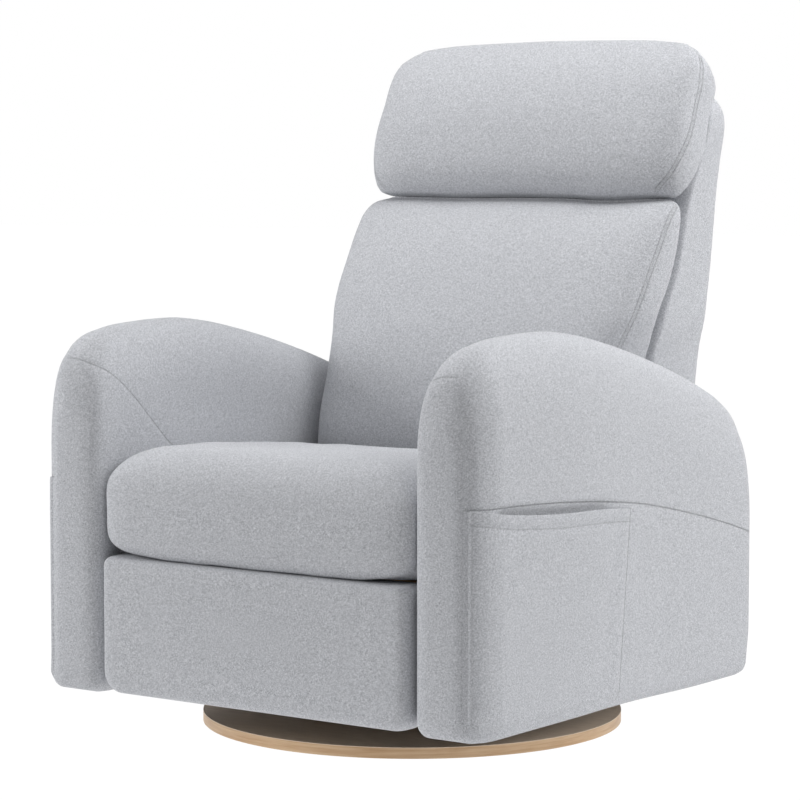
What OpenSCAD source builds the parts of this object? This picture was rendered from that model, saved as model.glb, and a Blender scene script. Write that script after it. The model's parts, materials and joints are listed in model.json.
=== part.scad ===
// Swivel rocker recliner, in millimetres.
// Frame: X to the right seen from the front, the sitter faces minus Y, Z up, floor at zero.

/* [Base] */
// Radius of the anti-slip pad under the base disc
pad_r = 300; // [240:1:330]
// Thickness of the anti-slip pad
pad_t = 2; // [1:0.5:5]
// Radius of the round base disc
disc_r = 315; // [260:1:360]
// Thickness of the base disc with its top skin
disc_t = 16; // [12:0.5:25]
// Width of the pale wood edge band
band_w = 3; // [2:0.5:8]
// Thickness of the dark skin on top of the disc
skin_t = 1; // [0.5:0.1:3]

/* [Swivel] */
// Side of the square lower swivel plate
low_plate_side = 220; // [180:1:260]
// Thickness of the lower swivel plate
low_plate_t = 3; // [2:0.5:6]
// Corner radius of both swivel plates
plate_corner_r = 20; // [5:1:40]
// Diameter of the bearing balls
ball_d = 8; // [5:0.5:12]
// Radius of the ring of bearing balls
ball_ring_r = 80; // [50:1:95]
// Number of bearing balls
ball_count = 16; // [8:1:24]
// Depth that each ball sits in a plate groove
ball_seat = 0.8; // [0.4:0.1:1.5]
// Running clearance round balls and pins
run_gap = 0.05; // [0.02:0.01:0.1]
// Thickness of the ball cage
cage_t = 3; // [2:0.5:5]
// Radial width of the ball cage
cage_w = 16; // [10:1:30]
// Side of the square upper swivel plate
top_plate_side = 250; // [200:1:280]
// Thickness of the upper swivel plate
top_plate_t = 4; // [3:0.5:8]
// Radius of the centre pin
king_r = 8; // [5:0.5:12]
// Radius of the centre pin head
king_head_r = 15; // [10:0.5:22]
// Thickness of the centre pin head
king_head_t = 5; // [3:0.5:8]
// Gap under the centre pin head
king_gap = 0.2; // [0.1:0.1:1]
// Radius across the corners of the centre pin nut
king_nut_r = 13; // [9:0.5:18]
// Thickness of the centre pin nut
king_nut_t = 6; // [4:0.5:10]
// Radius of the pocket for the nut under the disc
nut_pocket_r = 18; // [12:0.5:30]
// Depth of the pocket for the nut under the disc
nut_pocket_h = 9; // [6:0.5:12]
// Radius of the plate screws
screw_r = 3; // [2:0.5:5]
// Radius of the plate screw heads
screw_head_r = 6; // [4:0.5:9]
// Thickness of the plate screw heads
screw_head_t = 3; // [2:0.5:5]
// Length of the plate screws in the disc
screw_len = 11; // [8:1:14]
// Distance of a plate screw from the plate edges
screw_inset = 16; // [10:1:25]

/* [Rocker] */
// Inner face of each rocker stand from the middle
stand_x = 106; // [90:1:130]
// Sheet thickness of the rocker stands
stand_t = 4; // [3:0.5:6]
// Width of the foot flange of a rocker stand
stand_flange = 26; // [18:1:40]
// Half length of a rocker stand at its foot
stand_foot_y = 82; // [70:1:95]
// Half length of a rocker stand at its top
stand_top_y = 110; // [100:1:125]
// Height where the rocker stand starts to widen
stand_neck_z = 130; // [110:1:150]
// Height where the rocker stand reaches its full width
stand_wide_z = 165; // [150:1:180]
// Height of the top edge of the rocker stand
stand_top_z = 206; // [195:1:225]
// Corner cut of the rocker stand top
stand_cut = 12; // [4:1:20]
// Half length of the window in a rocker stand
stand_window_y = 62; // [30:1:75]
// Lower edge of the window in a rocker stand
stand_window_low = 58; // [45:1:80]
// Upper edge of the window in a rocker stand
stand_window_high = 132; // [100:1:150]
// Corner radius of sheet metal windows
window_r = 14; // [4:1:25]
// Height of the upper rocker pivots
rock_z = 190; // [170:1:210]
// Upper rocker pivots from the middle
rock_top_y = 95; // [80:1:110]
// Lower rocker pivots from the middle
rock_low_y = 125; // [112:1:140]
// Pivot distance of a rocker link
link_len = 110; // [90:1:130]
// Thickness of a rocker link
link_t = 5; // [3:0.5:8]
// Width of a rocker link between its eyes
link_w = 20; // [12:1:30]
// Radius of the rocker link eyes
link_eye_r = 14; // [10:1:20]
// Radius of the rocker pins and rods
rock_pin_r = 6; // [4:0.5:9]
// Radius of the rocker pin heads
rock_head_r = 10; // [7:0.5:14]
// Thickness of the rocker pin heads
rock_head_t = 4; // [2:0.5:6]
// Side gap between neighbouring link plates
side_gap = 1.5; // [0.5:0.1:3]
// Extra radius of the hole that closes the rocker linkage
loop_gap = 1; // [0.5:0.1:2]
// Cross tubes between the rocker stands, radius
stand_tube_r = 9; // [6:0.5:14]
// Cross tubes between the rocker stands, from the middle
stand_tube_y = 50; // [30:1:70]
// Cross tubes between the rocker stands, height
stand_tube_z = 175; // [150:1:190]
// Length of a rocker stop buffer
buffer_len = 10; // [6:0.1:14]
// Radius of a rocker stop buffer
buffer_r = 7; // [4:0.5:10]
// Height of the rocker stop buffers
buffer_z = 88; // [80:1:100]
// Half spread of the stand bolts along the flange
stand_bolt_y = 66; // [40:1:80]

/* [Chassis] */
// Sheet thickness of the chassis rails
rail_t = 4; // [3:0.5:6]
// Height of a chassis rail beam
rail_h = 30; // [20:1:40]
// Front end of the chassis rails behind zero, toward the front
rail_front = 205; // [190:1:230]
// Rear end of the chassis rails
rail_rear = 177; // [165:1:200]
// Length of the upright ends of the chassis rails
rail_post = 31; // [28:1:45]
// Top of the upright ends of the chassis rails
rail_top_z = 146; // [142:1:160]
// Side of the square cross tubes
tube_side = 25; // [18:1:30]
// Wall of the square cross tubes
tube_wall = 2; // [1.5:0.1:3]
// Centre height of the cross tubes
tube_z = 127.5; // [120:0.5:135]
// Front cross tube from the middle
tube_front_y = 190; // [180:1:200]
// Rear cross tube from the middle
tube_rear_y = 162; // [158:1:175]
// Thickness of the side plates that carry the arms
side_t = 5; // [3:0.5:8]
// Lower edge of the side plates
side_low = 100; // [90:1:120]
// Slot height inside the seat guide channels
guide_h = 14.2; // [10:0.1:20]
// Wall of the seat guide channels
guide_wall = 3; // [2:0.5:4]
// Depth of the seat guide channels
guide_depth = 11; // [8:0.5:14]
// Centre height of the seat guide channels
guide_z = 254; // [248:1:260]
// Half length of the seat guide channels in front of the middle
guide_front = 200; // [180:1:210]
// Length of the seat guide channels behind the middle
guide_rear = 165; // [150:1:180]

/* [Seat] */
// Side clearance between the seat frame and its guides
seat_clear = 4; // [2:0.5:8]
// Width of the seat frame side rails
seat_rail = 22; // [16:1:30]
// Height of the seat frame rails
seat_frame_h = 24; // [18:1:30]
// Underside of the seat frame
seat_frame_z = 242; // [235:1:250]
// Front of the seat frame
seat_front = 330; // [315:1:335]
// Rear face of the rear cross rail
seat_rear = 150; // [130:1:165]
// Rear ends of the seat frame side rails
seat_tail = 205; // [195:1:215]
// Travel of the seat along its guides
seat_travel = 50; // [20:1:60]
// Length of a nylon glide block
block_len = 30; // [20:1:40]
// Front glide blocks in front of the middle
block_front = 130; // [110:1:140]
// Rear glide blocks behind the middle
block_rear = 130; // [110:1:145]
// Clearance of a glide block in its channel
block_gap = 0.1; // [0.05:0.05:0.3]
// Pitch of the bends of the zigzag seat springs
spring_pitch = 22; // [16:1:30]
// Half width of the zigzag springs
spring_amp = 24; // [15:1:35]
// Wire size of the zigzag springs
spring_wire = 3.4; // [2.5:0.1:5]
// Number of zigzag seat springs
seat_spring_count = 5; // [3:1:6]
// Spacing of the zigzag seat springs
seat_spring_pitch = 88; // [60:1:100]
// Back recline pivot behind the middle
back_pivot_y = 188; // [175:1:195]
// Back recline pivot height
back_pivot_z = 254; // [245:1:262]
// Radius of the back recline pins
back_pin_r = 6; // [4:0.5:9]

/* [Footrest] */
// Half length of a footrest scissor link
bar_half = 76; // [60:1:80]
// Width of a footrest link
bar_w = 14; // [10:0.5:15]
// Radius of the footrest link eyes
bar_eye_r = 7.7; // [6:0.1:7.8]
// Thickness of a footrest link
bar_t = 4; // [3:0.5:5]
// Radius of the footrest pivot rivets
rivet_r = 3.5; // [2.5:0.1:4]
// Angle of a folded link to the push-out direction
fold_angle = 84; // [80:0.5:84]
// Angle of an opened link to the push-out direction
open_angle = 7; // [7:0.5:15]
// Rise of the push-out direction
push_rise = 4; // [0:0.5:6]
// Fixed footrest pivot in front of the middle
foot_y = 262; // [250:1:270]
// Fixed footrest pivot height
foot_z = 224; // [215:1:228]
// Side room round the slot of the footrest plates
foot_plate_edge = 14; // [11:0.5:20]
// Radius of the torque tube of the footrest
torque_r = 8; // [5:0.5:12]
// Distance of the torque tube from the slot pin along its link
torque_along = 34; // [25:1:45]
// Inner face of the footrest panel in front of the middle
panel_back = 348; // [344:1:352]
// Thickness of the footrest board
board_t = 12; // [9:0.5:18]
// Thickness of the footrest pad
foot_pad_t = 40; // [20:0.5:45]
// Half width of the footrest panel
panel_half = 274; // [250:1:275]
// Underside of the footrest panel
panel_low = 66; // [55:1:80]
// Top of the footrest panel
panel_high = 262; // [250:1:264]
// Margin of the board inside its pad
board_inset = 7; // [3:0.5:15]
// Corner radius of the footrest panel
panel_corner_r = 22; // [8:1:40]
// Lower edge of the carrier flange on the board
carrier_low = 104; // [90:1:130]
// Upper edge of the carrier flange on the board
carrier_high = 222; // [190:1:230]
// Width of the carrier flange on the board
carrier_flange = 24; // [15:1:35]

/* [Arms] */
// Inner face of each arm from the middle
arm_in = 278; // [274:1:290]
// Width of each arm
arm_w = 105; // [95:1:130]
// Ridge line of each arm from the middle
arm_ridge = 335; // [325:1:350]
// Front of the arms
arm_front = 398; // [380:1:420]
// Rear of the arms
arm_rear = 372; // [340:1:390]
// Underside of the arms
arm_low = 66; // [60:1:80]
// Highest point of the arm ridge
arm_high = 603; // [560:1:640]
// Corner radius at the front and rear ends of the arms
arm_end_r = 28; // [15:1:45]
// Rounding of the lower edges of the arms
arm_foot_r = 10; // [4:1:20]
// Height of the outer shoulder of the arm top
shoulder_out = 165; // [100:1:200]
// Height of the inner shoulder of the arm top
shoulder_in = 110; // [80:1:150]
// Roundness of the arm top, 2 is an ellipse
arm_round = 2.15; // [2:0.05:3]
// Wall of foam and cloth round the arm frame
arm_wall = 24; // [18:1:30]
// Height of the arm frame top
arm_frame_top = 430; // [400:1:470]
// Soft tail of the arm behind its frame
arm_tail = 30; // [10:1:60]
// Panel thickness of the arm frame
arm_ply = 18; // [12:1:22]
// Width of the arm frame rails
arm_rail = 70; // [50:1:90]
// Thickness of the cloth-covered arm base board
arm_base_t = 6; // [3:0.5:10]
// Radius of the arm bolts
arm_bolt_r = 4; // [3:0.5:6]
// Radius of the arm bolt heads
arm_bolt_head_r = 9; // [6:0.5:12]
// Thickness of the arm bolt heads
arm_bolt_head_t = 3; // [2:0.5:5]
// Half spread of the arm bolts along the side plate
arm_bolt_y = 130; // [100:1:165]
// Lower row of arm bolts
arm_bolt_low = 122; // [110:1:130]
// Upper row of arm bolts
arm_bolt_high = 222; // [200:1:235]

/* [Pocket] */
// Front edge of the side pocket
pocket_front = 368; // [340:1:372]
// Rear edge of the side pocket in front of the middle
pocket_rear = 22; // [10:1:80]
// Lower edge of the side pocket
pocket_low = 86; // [80:1:120]
// Hem height at the front corner of the pocket
hem_front = 372; // [330:1:400]
// Hem height at the middle of the pocket
hem_mid = 358; // [320:1:390]
// Hem height at the rear corner of the pocket
hem_rear = 349; // [310:1:380]
// Height of the slit above the hem
slit_h = 16; // [10:1:25]
// Depth of the pocket room behind its cloth
pocket_depth = 13; // [8:0.5:18]
// Thickness of the padded pocket panel
pocket_t = 5; // [3:0.5:8]
// Width of the seam margin round the pocket
pocket_seam = 10; // [5:0.5:20]
// How far the pocket panel stands proud of the arm
pocket_proud = 2; // [0.5:0.5:5]

/* [Release] */
// Release tab behind the front of the arm
tab_y = 150; // [100:1:200]
// Lower end of the release tab guide
tab_guide_low = 395; // [370:1:420]
// Height of the release tab guide
tab_guide_h = 62; // [40:1:80]
// Width of the release tab guide
tab_guide_w = 34; // [24:1:50]
// Thickness of the release tab guide
tab_guide_t = 4; // [3:0.5:6]
// Width of the release tab
tab_w = 22; // [16:1:32]
// Thickness of the release tab
tab_t = 3; // [2:0.5:4]
// Height of the release tab
tab_h = 78; // [60:1:90]
// Pull of the release tab
tab_travel = 22; // [10:1:30]
// Finger hole radius of the release tab
tab_hole_r = 7; // [5:0.5:9]

/* [Soft shapes] */
// Points round each soft ring
ring_points = 36; // [24:4:48]
// Gap between soft pieces and what carries them
soft_gap = 0.3; // [0.2:0.1:1]
// Half width of the seat cushion
cushion_half = 274; // [255:1:275]
// Front of the seat cushion
cushion_front = 396; // [380:1:400]
// Rear of the seat cushion behind the middle
cushion_rear = 52; // [30:1:56]
// Underside of the seat cushion
cushion_low = 270; // [268:1:280]
// Crown of the seat cushion
cushion_high = 433; // [420:1:470]
// Height where the seat cushion is widest
cushion_belly = 342; // [320:1:370]
// Rounding of the seat cushion front
cushion_front_r = 30; // [20:1:60]
// Rounding of the seat cushion rear
cushion_rear_r = 30; // [10:1:50]
// Drop of the seat cushion top toward its rear
cushion_drop = 32; // [0:1:40]
// Half width of the back shell
shell_half = 275; // [262:1:276]
// Half width of the back cushion
back_half = 275; // [262:1:276]
// Half width of the head cushion
head_half = 287; // [265:1:292]
// Wall of foam and cloth behind the back frame
shell_wall = 22; // [15:1:30]
// Half width of the opening in the front of the back shell
shell_mouth = 249; // [235:1:252]
// Height of the whole chair
full_high = 1030; // [980:1:1080]
// Rearmost point of the back shell behind the middle
full_reach = 460; // [430:1:480]
// Depth of the rear rounding of the soft back pieces
rear_depth = 18; // [10:1:24]
// Outer half width of the back frame
frame_half = 245; // [230:1:248]
// Width of the back frame posts
frame_post = 26; // [18:1:36]
// Height of the back frame cross rails
frame_rail_h = 60; // [40:1:80]
// Thickness of the back frame
frame_t = 26; // [18:1:30]
// Lower end of the back frame
frame_low = 207; // [203:1:215]
// Upper end of the back frame
frame_high = 848; // [820:1:880]
// Room in front of the zigzag back springs
spring_relief = 1.9; // [1:0.5:6]
// Number of zigzag back springs
back_spring_count = 4; // [2:1:6]

/* [Hidden] */
$fn = 48;
// Shares that set small proportions
buffer_tip_share = 0.7;
window_mid_share = 0.36;
window_half_share = 0.26;
arm_window_share = 0.6;
slit_front_share = 1.4;
cushion_station_shares = [0.3, 0.5, 0.75];
tuck_share = 0.8;
spring_low_share = 0.8;
plate_foot_share = 1.5;
// Heights that stack up from the floor
disc_top = pad_t + disc_t;
low_plate_top = disc_top + low_plate_t;
plate_gap = ball_d - 2 * ball_seat;
ball_z = low_plate_top + plate_gap / 2;
top_plate_z = low_plate_top + plate_gap;
stand_z = top_plate_z + top_plate_t;
// Rocker link planes from the middle outward
link_x = stand_x + stand_t + side_gap;
rail_x = link_x + link_t + side_gap;
rail_out = rail_x + rail_t;
rock_low_z = rock_z - sqrt(pow(link_len, 2) - pow(rock_low_y - rock_top_y, 2));
arm_out = arm_in + arm_w;
side_x = arm_in - side_t;
guide_x = side_x - guide_depth;
seat_half = guide_x - seat_clear;
seat_top = seat_frame_z + seat_frame_h;
arm_len = arm_front + arm_rear;
arm_tall = arm_high - arm_low;
arm_frame_w = arm_w - 2 * arm_wall - pocket_depth / 4;
arm_frame_len = arm_len - 4 * arm_wall - arm_tail;
side_window_mid = rail_front * window_mid_share;
side_window_half = rail_front * window_half_share;
// Footrest link planes from the outside inward
foot_plate_x = seat_half - bar_t;
bar_a = foot_plate_x - side_gap - bar_t;
bar_b = bar_a - side_gap - bar_t;
bar_len = 2 * bar_half;
// Footrest pivots in the side view, from the fixed pivot
function way(a) = [-cos(a), sin(a)];
fixed_pt = [-foot_y, foot_z];
down_a = push_rise - fold_angle;
up_a = push_rise + fold_angle;
slot_pt = fixed_pt + bar_len * sin(fold_angle) * way(push_rise - 90);
slot_end = fixed_pt + bar_len * sin(open_angle) * way(push_rise - 90);
cross_one = fixed_pt + bar_half * way(down_a);
low_one = fixed_pt + bar_len * way(down_a);
high_one = slot_pt + bar_len * way(up_a);
cross_two = high_one + bar_half * way(down_a);
low_two = high_one + bar_len * way(down_a);
high_two = low_one + bar_len * way(up_a);
cross_three = high_two + bar_half * way(down_a);
low_three = high_two + bar_len * way(down_a);
torque_pt = slot_pt + torque_along * way(up_a);
// Arm outline: share of its length from the front, share of its height
arm_ridge_shares = [[0, 0.808], [0.01, 0.883], [0.026, 0.924], [0.06, 0.961], [0.114, 0.983], [0.205, 0.996],
  [0.303, 1], [0.388, 0.989], [0.513, 0.955], [0.649, 0.907], [0.77, 0.855], [0.857, 0.808], [0.913, 0.767],
  [0.952, 0.719], [0.978, 0.655], [0.993, 0.57], [1, 0.473]];
arm_station_shares = [for (s = arm_ridge_shares) s[0]];
// Back outline: share of the full height, then front, rear and half width as shares
shell_shares = [[0.1845, 0.615, 0.717, 0.96], [0.2, 0.596, 0.722, 0.98], [0.2427, 0.528, 0.741, 0.985],
  [0.2913, 0.496, 0.763, 0.99], [0.3883, 0.478, 0.807, 1], [0.4825, 0.491, 0.846, 1], [0.528, 0.511, 0.865, 1],
  [0.586, 0.565, 0.887, 1.02], [0.658, 0.652, 0.915, 1.02], [0.739, 0.709, 0.946, 1.02], [0.776, 0.739, 0.959, 1.02],
  [0.819, 0.796, 0.976, 1.02], [0.88, 0.852, 1, 1.01], [0.898, 0.874, 0.978, 0.985], [0.9136, 0.904, 0.946, 0.94]];
cushion_shares = [[0.2913, 0.261, 0.93], [0.311, 0.207, 0.985], [0.345, 0.165, 1], [0.389, 0.152, 1],
  [0.44, 0.174, 1], [0.499, 0.222, 1], [0.544, 0.285, 1.01], [0.594, 0.348, 1.03], [0.677, 0.457, 1.03],
  [0.713, 0.517, 1.03], [0.737, 0.574, 1.02], [0.748, 0.622, 1.005], [0.7553, 0.67, 0.97]];
head_shares = [[0.763, 0.665, 0, 0.9], [0.769, 0.626, 0, 0.955], [0.7786, 0.6, 0, 0.985], [0.8087, 0.583, 0, 1],
  [0.8524, 0.607, 0, 1], [0.9078, 0.661, 0, 1], [0.9272, 0.689, 0.935, 0.995], [0.9476, 0.72, 0.939, 0.98],
  [0.967, 0.761, 0.926, 0.945], [0.9835, 0.809, 0.904, 0.88], [0.996, 0.843, 0.878, 0.77], [1, 0.857, 0.87, 0.7]];
// Levels where the back cushions follow the bends of the shell behind them
back_levels = [0.2913, 0.311, 0.345, 0.3883, 0.44, 0.4825, 0.499, 0.528, 0.544, 0.586, 0.594, 0.658, 0.677, 0.713,
  0.737, 0.739, 0.748, 0.7553];
head_levels = [0.763, 0.769, 0.776, 0.7786, 0.8087, 0.819, 0.8524, 0.88, 0.898, 0.9136, 0.9272, 0.9476, 0.967, 0.9835,
  0.996, 1];
head_free = 0.9136;
function share_at(z, list, k) = lookup(z, [for (s = list) [s[0], s[k]]]);
front_line = [for (s = shell_shares) [s[0] * full_high, s[1] * full_reach]];
rear_line = [for (s = shell_shares) [s[0] * full_high, s[2] * full_reach]];
frame_levels = [for (s = [0:0.1:1]) frame_low + s * (frame_high - frame_low)];
spring_room = spring_wire + spring_relief;
function shell_front(z) = lookup(z, front_line);
function shell_rear(z) = lookup(z, rear_line);
function frame_rear(z) = shell_rear(z) - shell_wall - soft_gap;
function frame_front(z) = min(shell_front(z) + spring_room, frame_rear(z) - frame_t + soft_gap);
// Roundness of the soft rings, 2 is an ellipse and more is boxier
crown_round = 3.2;
flat_round = 16;
seat_crown_round = 3.6;
seat_floor_round = 6;
// A signed power that turns a circle into a rounded box
function bend(v, n) = sign(v) * pow(abs(v), 2 / n);
function end_inset(d, r) = d >= r ? 0 : r - sqrt(pow(r, 2) - pow(r - d, 2));
function level_ring(z, a, yf, yc, yr, nf, nr) = [for (j = [0:ring_points - 1])
  let (c = cos(360 * j / ring_points), s = sin(360 * j / ring_points), n = s < 0 ? nf : nr)
  [a * bend(c, n), yc + (s < 0 ? yc - yf : yr - yc) * bend(s, n), z]];
function upright_ring(y, a, zb, zc, zt) = [for (j = [0:ring_points - 1])
  let (c = cos(360 * j / ring_points), s = sin(360 * j / ring_points), n = s < 0 ? seat_floor_round : seat_crown_round)
  [a * bend(c, n), y, zc + (s < 0 ? zc - zb : zt - zc) * bend(s, n)]];

// A closed skin over rings with equal numbers of points
module skin(rings, flip = false) {
  n = len(rings[0]);
  m = len(rings);
  points = [for (r = rings) each r];
  sides = [for (i = [0:m - 2]) for (j = [0:n - 1]) let (a = i * n + j, b = i * n + (j + 1) % n)
    each [[a, a + n, b], [b, a + n, b + n]]];
  caps = [[for (j = [0:n - 1]) j], [for (j = [n - 1:-1:0]) (m - 1) * n + j]];
  faces = concat(sides, caps);
  polyhedron(points = points, faces = flip ? [for (f = faces) [for (k = [len(f) - 1:-1:0]) f[k]]] : faces, convexity = 8);
}

// A plate drawn in the side view, its inner face at x
module side_plate(x, t) {
  translate([x, 0, 0])
    rotate([90, 0, 90])
      linear_extrude(t)
        children();
}

// A plate drawn in the front view, its front face at y
module front_plate(y, t) {
  translate([0, y + t, 0])
    rotate([90, 0, 0])
      linear_extrude(t)
        children();
}

// The same piece on both sides
module pair() {
  children();
  mirror([1, 0, 0])
    children();
}

// A pin along X from x0 to x1
module pin(y, z, x0, x1, r) {
  translate([x0, y, z])
    rotate([0, 90, 0])
      cylinder(h = x1 - x0, r = r);
}

// A rectangle from two corners with round corners
module panel(x0, y0, x1, y1, r) {
  translate([x0 + r, y0])
    square([x1 - x0 - 2 * r, y1 - y0]);
  translate([x0, y0 + r])
    square([x1 - x0, y1 - y0 - 2 * r]);
  for (x = [x0 + r, x1 - r], y = [y0 + r, y1 - r])
    translate([x, y])
      circle(r);
}

// A link outline with round eyes
module bar(p, q, w, r) {
  d = q - p;
  translate(p)
    circle(r);
  translate(q)
    circle(r);
  translate(p)
    rotate(atan2(d[1], d[0]))
      translate([0, -w / 2])
        square([norm(d), w]);
}

// One flat zigzag spring along Y, centred
module zigzag(count, amp, pitch, wire) {
  outer = pitch / 2 + wire / 2;
  inner = pitch / 2 - wire / 2;
  for (i = [0:count - 1]) {
    side = i % 2 == 0 ? 1 : -1;
    y = (i - (count - 1) / 2) * pitch;
    translate([side * (amp - pitch / 2), y])
      intersection() {
        difference() {
          circle(outer);
          circle(inner);
        }
        translate([side > 0 ? 0 : -outer, -outer])
          square([outer, 2 * outer]);
      }
  }
  for (i = [0:count])
    translate([pitch / 2 - amp, (i - count / 2) * pitch - wire / 2])
      square([2 * amp - pitch, wire]);
}

// Base: what stands on the floor
module floor_pad() {
  color("#2b2b2b")
    cylinder(h = pad_t, r = pad_r);
}

module base_disc() {
  color("#c9a77c")
    difference() {
      translate([0, 0, pad_t])
        cylinder(h = disc_t - skin_t, r = disc_r - band_w);
      translate([0, 0, pad_t])
        cylinder(h = disc_t, r = king_r + run_gap);
      translate([0, 0, pad_t])
        cylinder(h = nut_pocket_h, r = nut_pocket_r);
      plate_screw_places()
        translate([0, 0, low_plate_top - screw_len])
          cylinder(h = screw_len, r = screw_r);
    }
}

module base_edge_band() {
  color("#d9bd94")
    translate([0, 0, pad_t])
      linear_extrude(disc_t - skin_t)
        difference() {
          circle(disc_r);
          circle(disc_r - band_w);
        }
}

module base_top_skin() {
  color("#5a4d43")
    translate([0, 0, disc_top - skin_t])
      linear_extrude(skin_t)
        difference() {
          circle(disc_r);
          circle(king_r + run_gap);
          plate_screw_places()
            circle(screw_r);
        }
}

module plate_screw_places() {
  reach = low_plate_side / 2 - screw_inset;
  for (x = [-reach, reach], y = [-reach, reach])
    translate([x, y])
      children();
}

module ball_groove() {
  translate([0, 0, ball_z])
    rotate_extrude($fn = 96)
      translate([ball_ring_r, 0])
        circle(ball_d / 2 + run_gap);
}

module swivel_low_plate() {
  half = low_plate_side / 2;
  color("#3c3f42")
    difference() {
      translate([0, 0, disc_top])
        linear_extrude(low_plate_t)
          difference() {
            panel(-half, -half, half, half, plate_corner_r);
            circle(king_r + run_gap);
            plate_screw_places()
              circle(screw_r);
          }
      ball_groove();
    }
}

module plate_screws() {
  color("#8d9094")
    plate_screw_places() {
      translate([0, 0, low_plate_top - screw_len])
        cylinder(h = screw_len, r = screw_r);
      translate([0, 0, low_plate_top])
        cylinder(h = screw_head_t, r1 = screw_head_r, r2 = screw_r);
    }
}

module king_pin() {
  low = pad_t + nut_pocket_h - king_nut_t;
  color("#9a9da0") {
    translate([0, 0, low])
      cylinder(h = stand_z + king_gap - low, r = king_r);
    translate([0, 0, stand_z + king_gap])
      cylinder(h = king_head_t, r = king_head_r);
  }
}

module king_nut() {
  color("#8d9094")
    translate([0, 0, pad_t + nut_pocket_h - king_nut_t])
      linear_extrude(king_nut_t)
        difference() {
          circle(king_nut_r, $fn = 6);
          circle(king_r, $fn = 48);
        }
}

module swivel_balls() {
  color("#c8cacc")
    for (i = [0:ball_count - 1])
      rotate(360 * i / ball_count)
        translate([ball_ring_r, 0, ball_z])
          sphere(ball_d / 2);
}

module ball_cage() {
  color("#e6e2d8")
    translate([0, 0, ball_z - cage_t / 2])
      linear_extrude(cage_t)
        difference() {
          circle(ball_ring_r + cage_w / 2);
          circle(ball_ring_r - cage_w / 2);
          for (i = [0:ball_count - 1])
            rotate(360 * i / ball_count)
              translate([ball_ring_r, 0])
                circle(ball_d / 2 + run_gap);
        }
}

// Swivel: turns on the base and carries the rocker stands
module stand_bolt_places() {
  for (x = [stand_flange / 2 - stand_x, stand_x - stand_flange / 2], y = [-stand_bolt_y, 0, stand_bolt_y])
    translate([x, y])
      children();
}

module swivel_top_plate() {
  half = top_plate_side / 2;
  color("#3c3f42")
    difference() {
      translate([0, 0, top_plate_z])
        linear_extrude(top_plate_t)
          difference() {
            panel(-half, -half, half, half, plate_corner_r);
            circle(king_r + run_gap);
            stand_bolt_places()
              circle(screw_r);
          }
      ball_groove();
    }
}

module stand_shape() {
  difference() {
    polygon([[-stand_foot_y, stand_z], [-stand_foot_y, stand_neck_z], [-stand_top_y, stand_wide_z],
      [-stand_top_y, stand_top_z - stand_cut], [stand_cut - stand_top_y, stand_top_z],
      [stand_top_y - stand_cut, stand_top_z], [stand_top_y, stand_top_z - stand_cut], [stand_top_y, stand_wide_z],
      [stand_foot_y, stand_neck_z], [stand_foot_y, stand_z]]);
    panel(-stand_window_y, stand_window_low, stand_window_y, stand_window_high, window_r);
    for (y = [-stand_tube_y, stand_tube_y])
      translate([y, stand_tube_z])
        circle(stand_tube_r);
    for (y = [-rock_top_y, rock_top_y])
      translate([y, rock_z])
        circle(rock_pin_r);
  }
}

module rocker_stand() {
  color("#3c3f42") {
    side_plate(stand_x, stand_t)
      stand_shape();
    translate([stand_x - stand_flange, -stand_foot_y, stand_z])
      linear_extrude(stand_t)
        difference() {
          square([stand_flange, 2 * stand_foot_y]);
          for (y = [-stand_bolt_y, 0, stand_bolt_y])
            translate([stand_flange / 2, y + stand_foot_y])
              circle(screw_r);
        }
  }
}

module rocker_stand_right() {
  rocker_stand();
}

module rocker_stand_left() {
  mirror([1, 0, 0])
    rocker_stand();
}

module stand_tubes() {
  reach = stand_x + stand_t;
  color("#3c3f42")
    for (y = [-stand_tube_y, stand_tube_y])
      difference() {
        pin(y, stand_tube_z, -reach, reach, stand_tube_r);
        pin(y, stand_tube_z, -reach, reach, stand_tube_r - tube_wall);
      }
}

module stand_bolts() {
  color("#8d9094")
    stand_bolt_places() {
      translate([0, 0, top_plate_z])
        cylinder(h = top_plate_t + stand_t, r = screw_r);
      translate([0, 0, stand_z + stand_t])
        cylinder(h = screw_head_t, r = screw_head_r);
    }
}

module rocker_pins() {
  color("#9a9da0")
    pair()
      for (y = [-rock_top_y, rock_top_y]) {
        pin(y, rock_z, stand_x, link_x + link_t, rock_pin_r);
        pin(y, rock_z, stand_x - rock_head_t, stand_x, rock_head_r);
        pin(y, rock_z, stand_x + stand_t, link_x, rock_head_r);
      }
}

module rocker_buffers() {
  color("#1f1f1f")
    pair()
      for (s = [-1, 1])
        translate([stand_x + stand_t / 2, s * stand_foot_y, buffer_z])
          rotate([s > 0 ? -90 : 90, 0, 0])
            cylinder(h = buffer_len, r1 = buffer_r, r2 = buffer_r * buffer_tip_share);
}

// Rocker links: hang from the stands and carry the chassis
module rocker_link(s) {
  side_plate(link_x, link_t)
    difference() {
      bar([s * rock_top_y, rock_z], [s * rock_low_y, rock_low_z], link_w, link_eye_r);
      translate([s * rock_top_y, rock_z])
        circle(rock_pin_r + run_gap);
      translate([s * rock_low_y, rock_low_z])
        circle(rock_pin_r);
    }
}

module front_rocker_links() {
  color("#6b6e72")
    pair()
      rocker_link(-1);
}

module rear_rocker_links() {
  color("#6b6e72")
    pair()
      rocker_link(1);
}

module rocker_rod(s) {
  color("#9a9da0")
    pin(s * rock_low_y, rock_low_z, -rail_out, rail_out, rock_pin_r);
}

module front_rocker_rod() {
  rocker_rod(-1);
}

module rear_rocker_rod() {
  rocker_rod(1);
}

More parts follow.
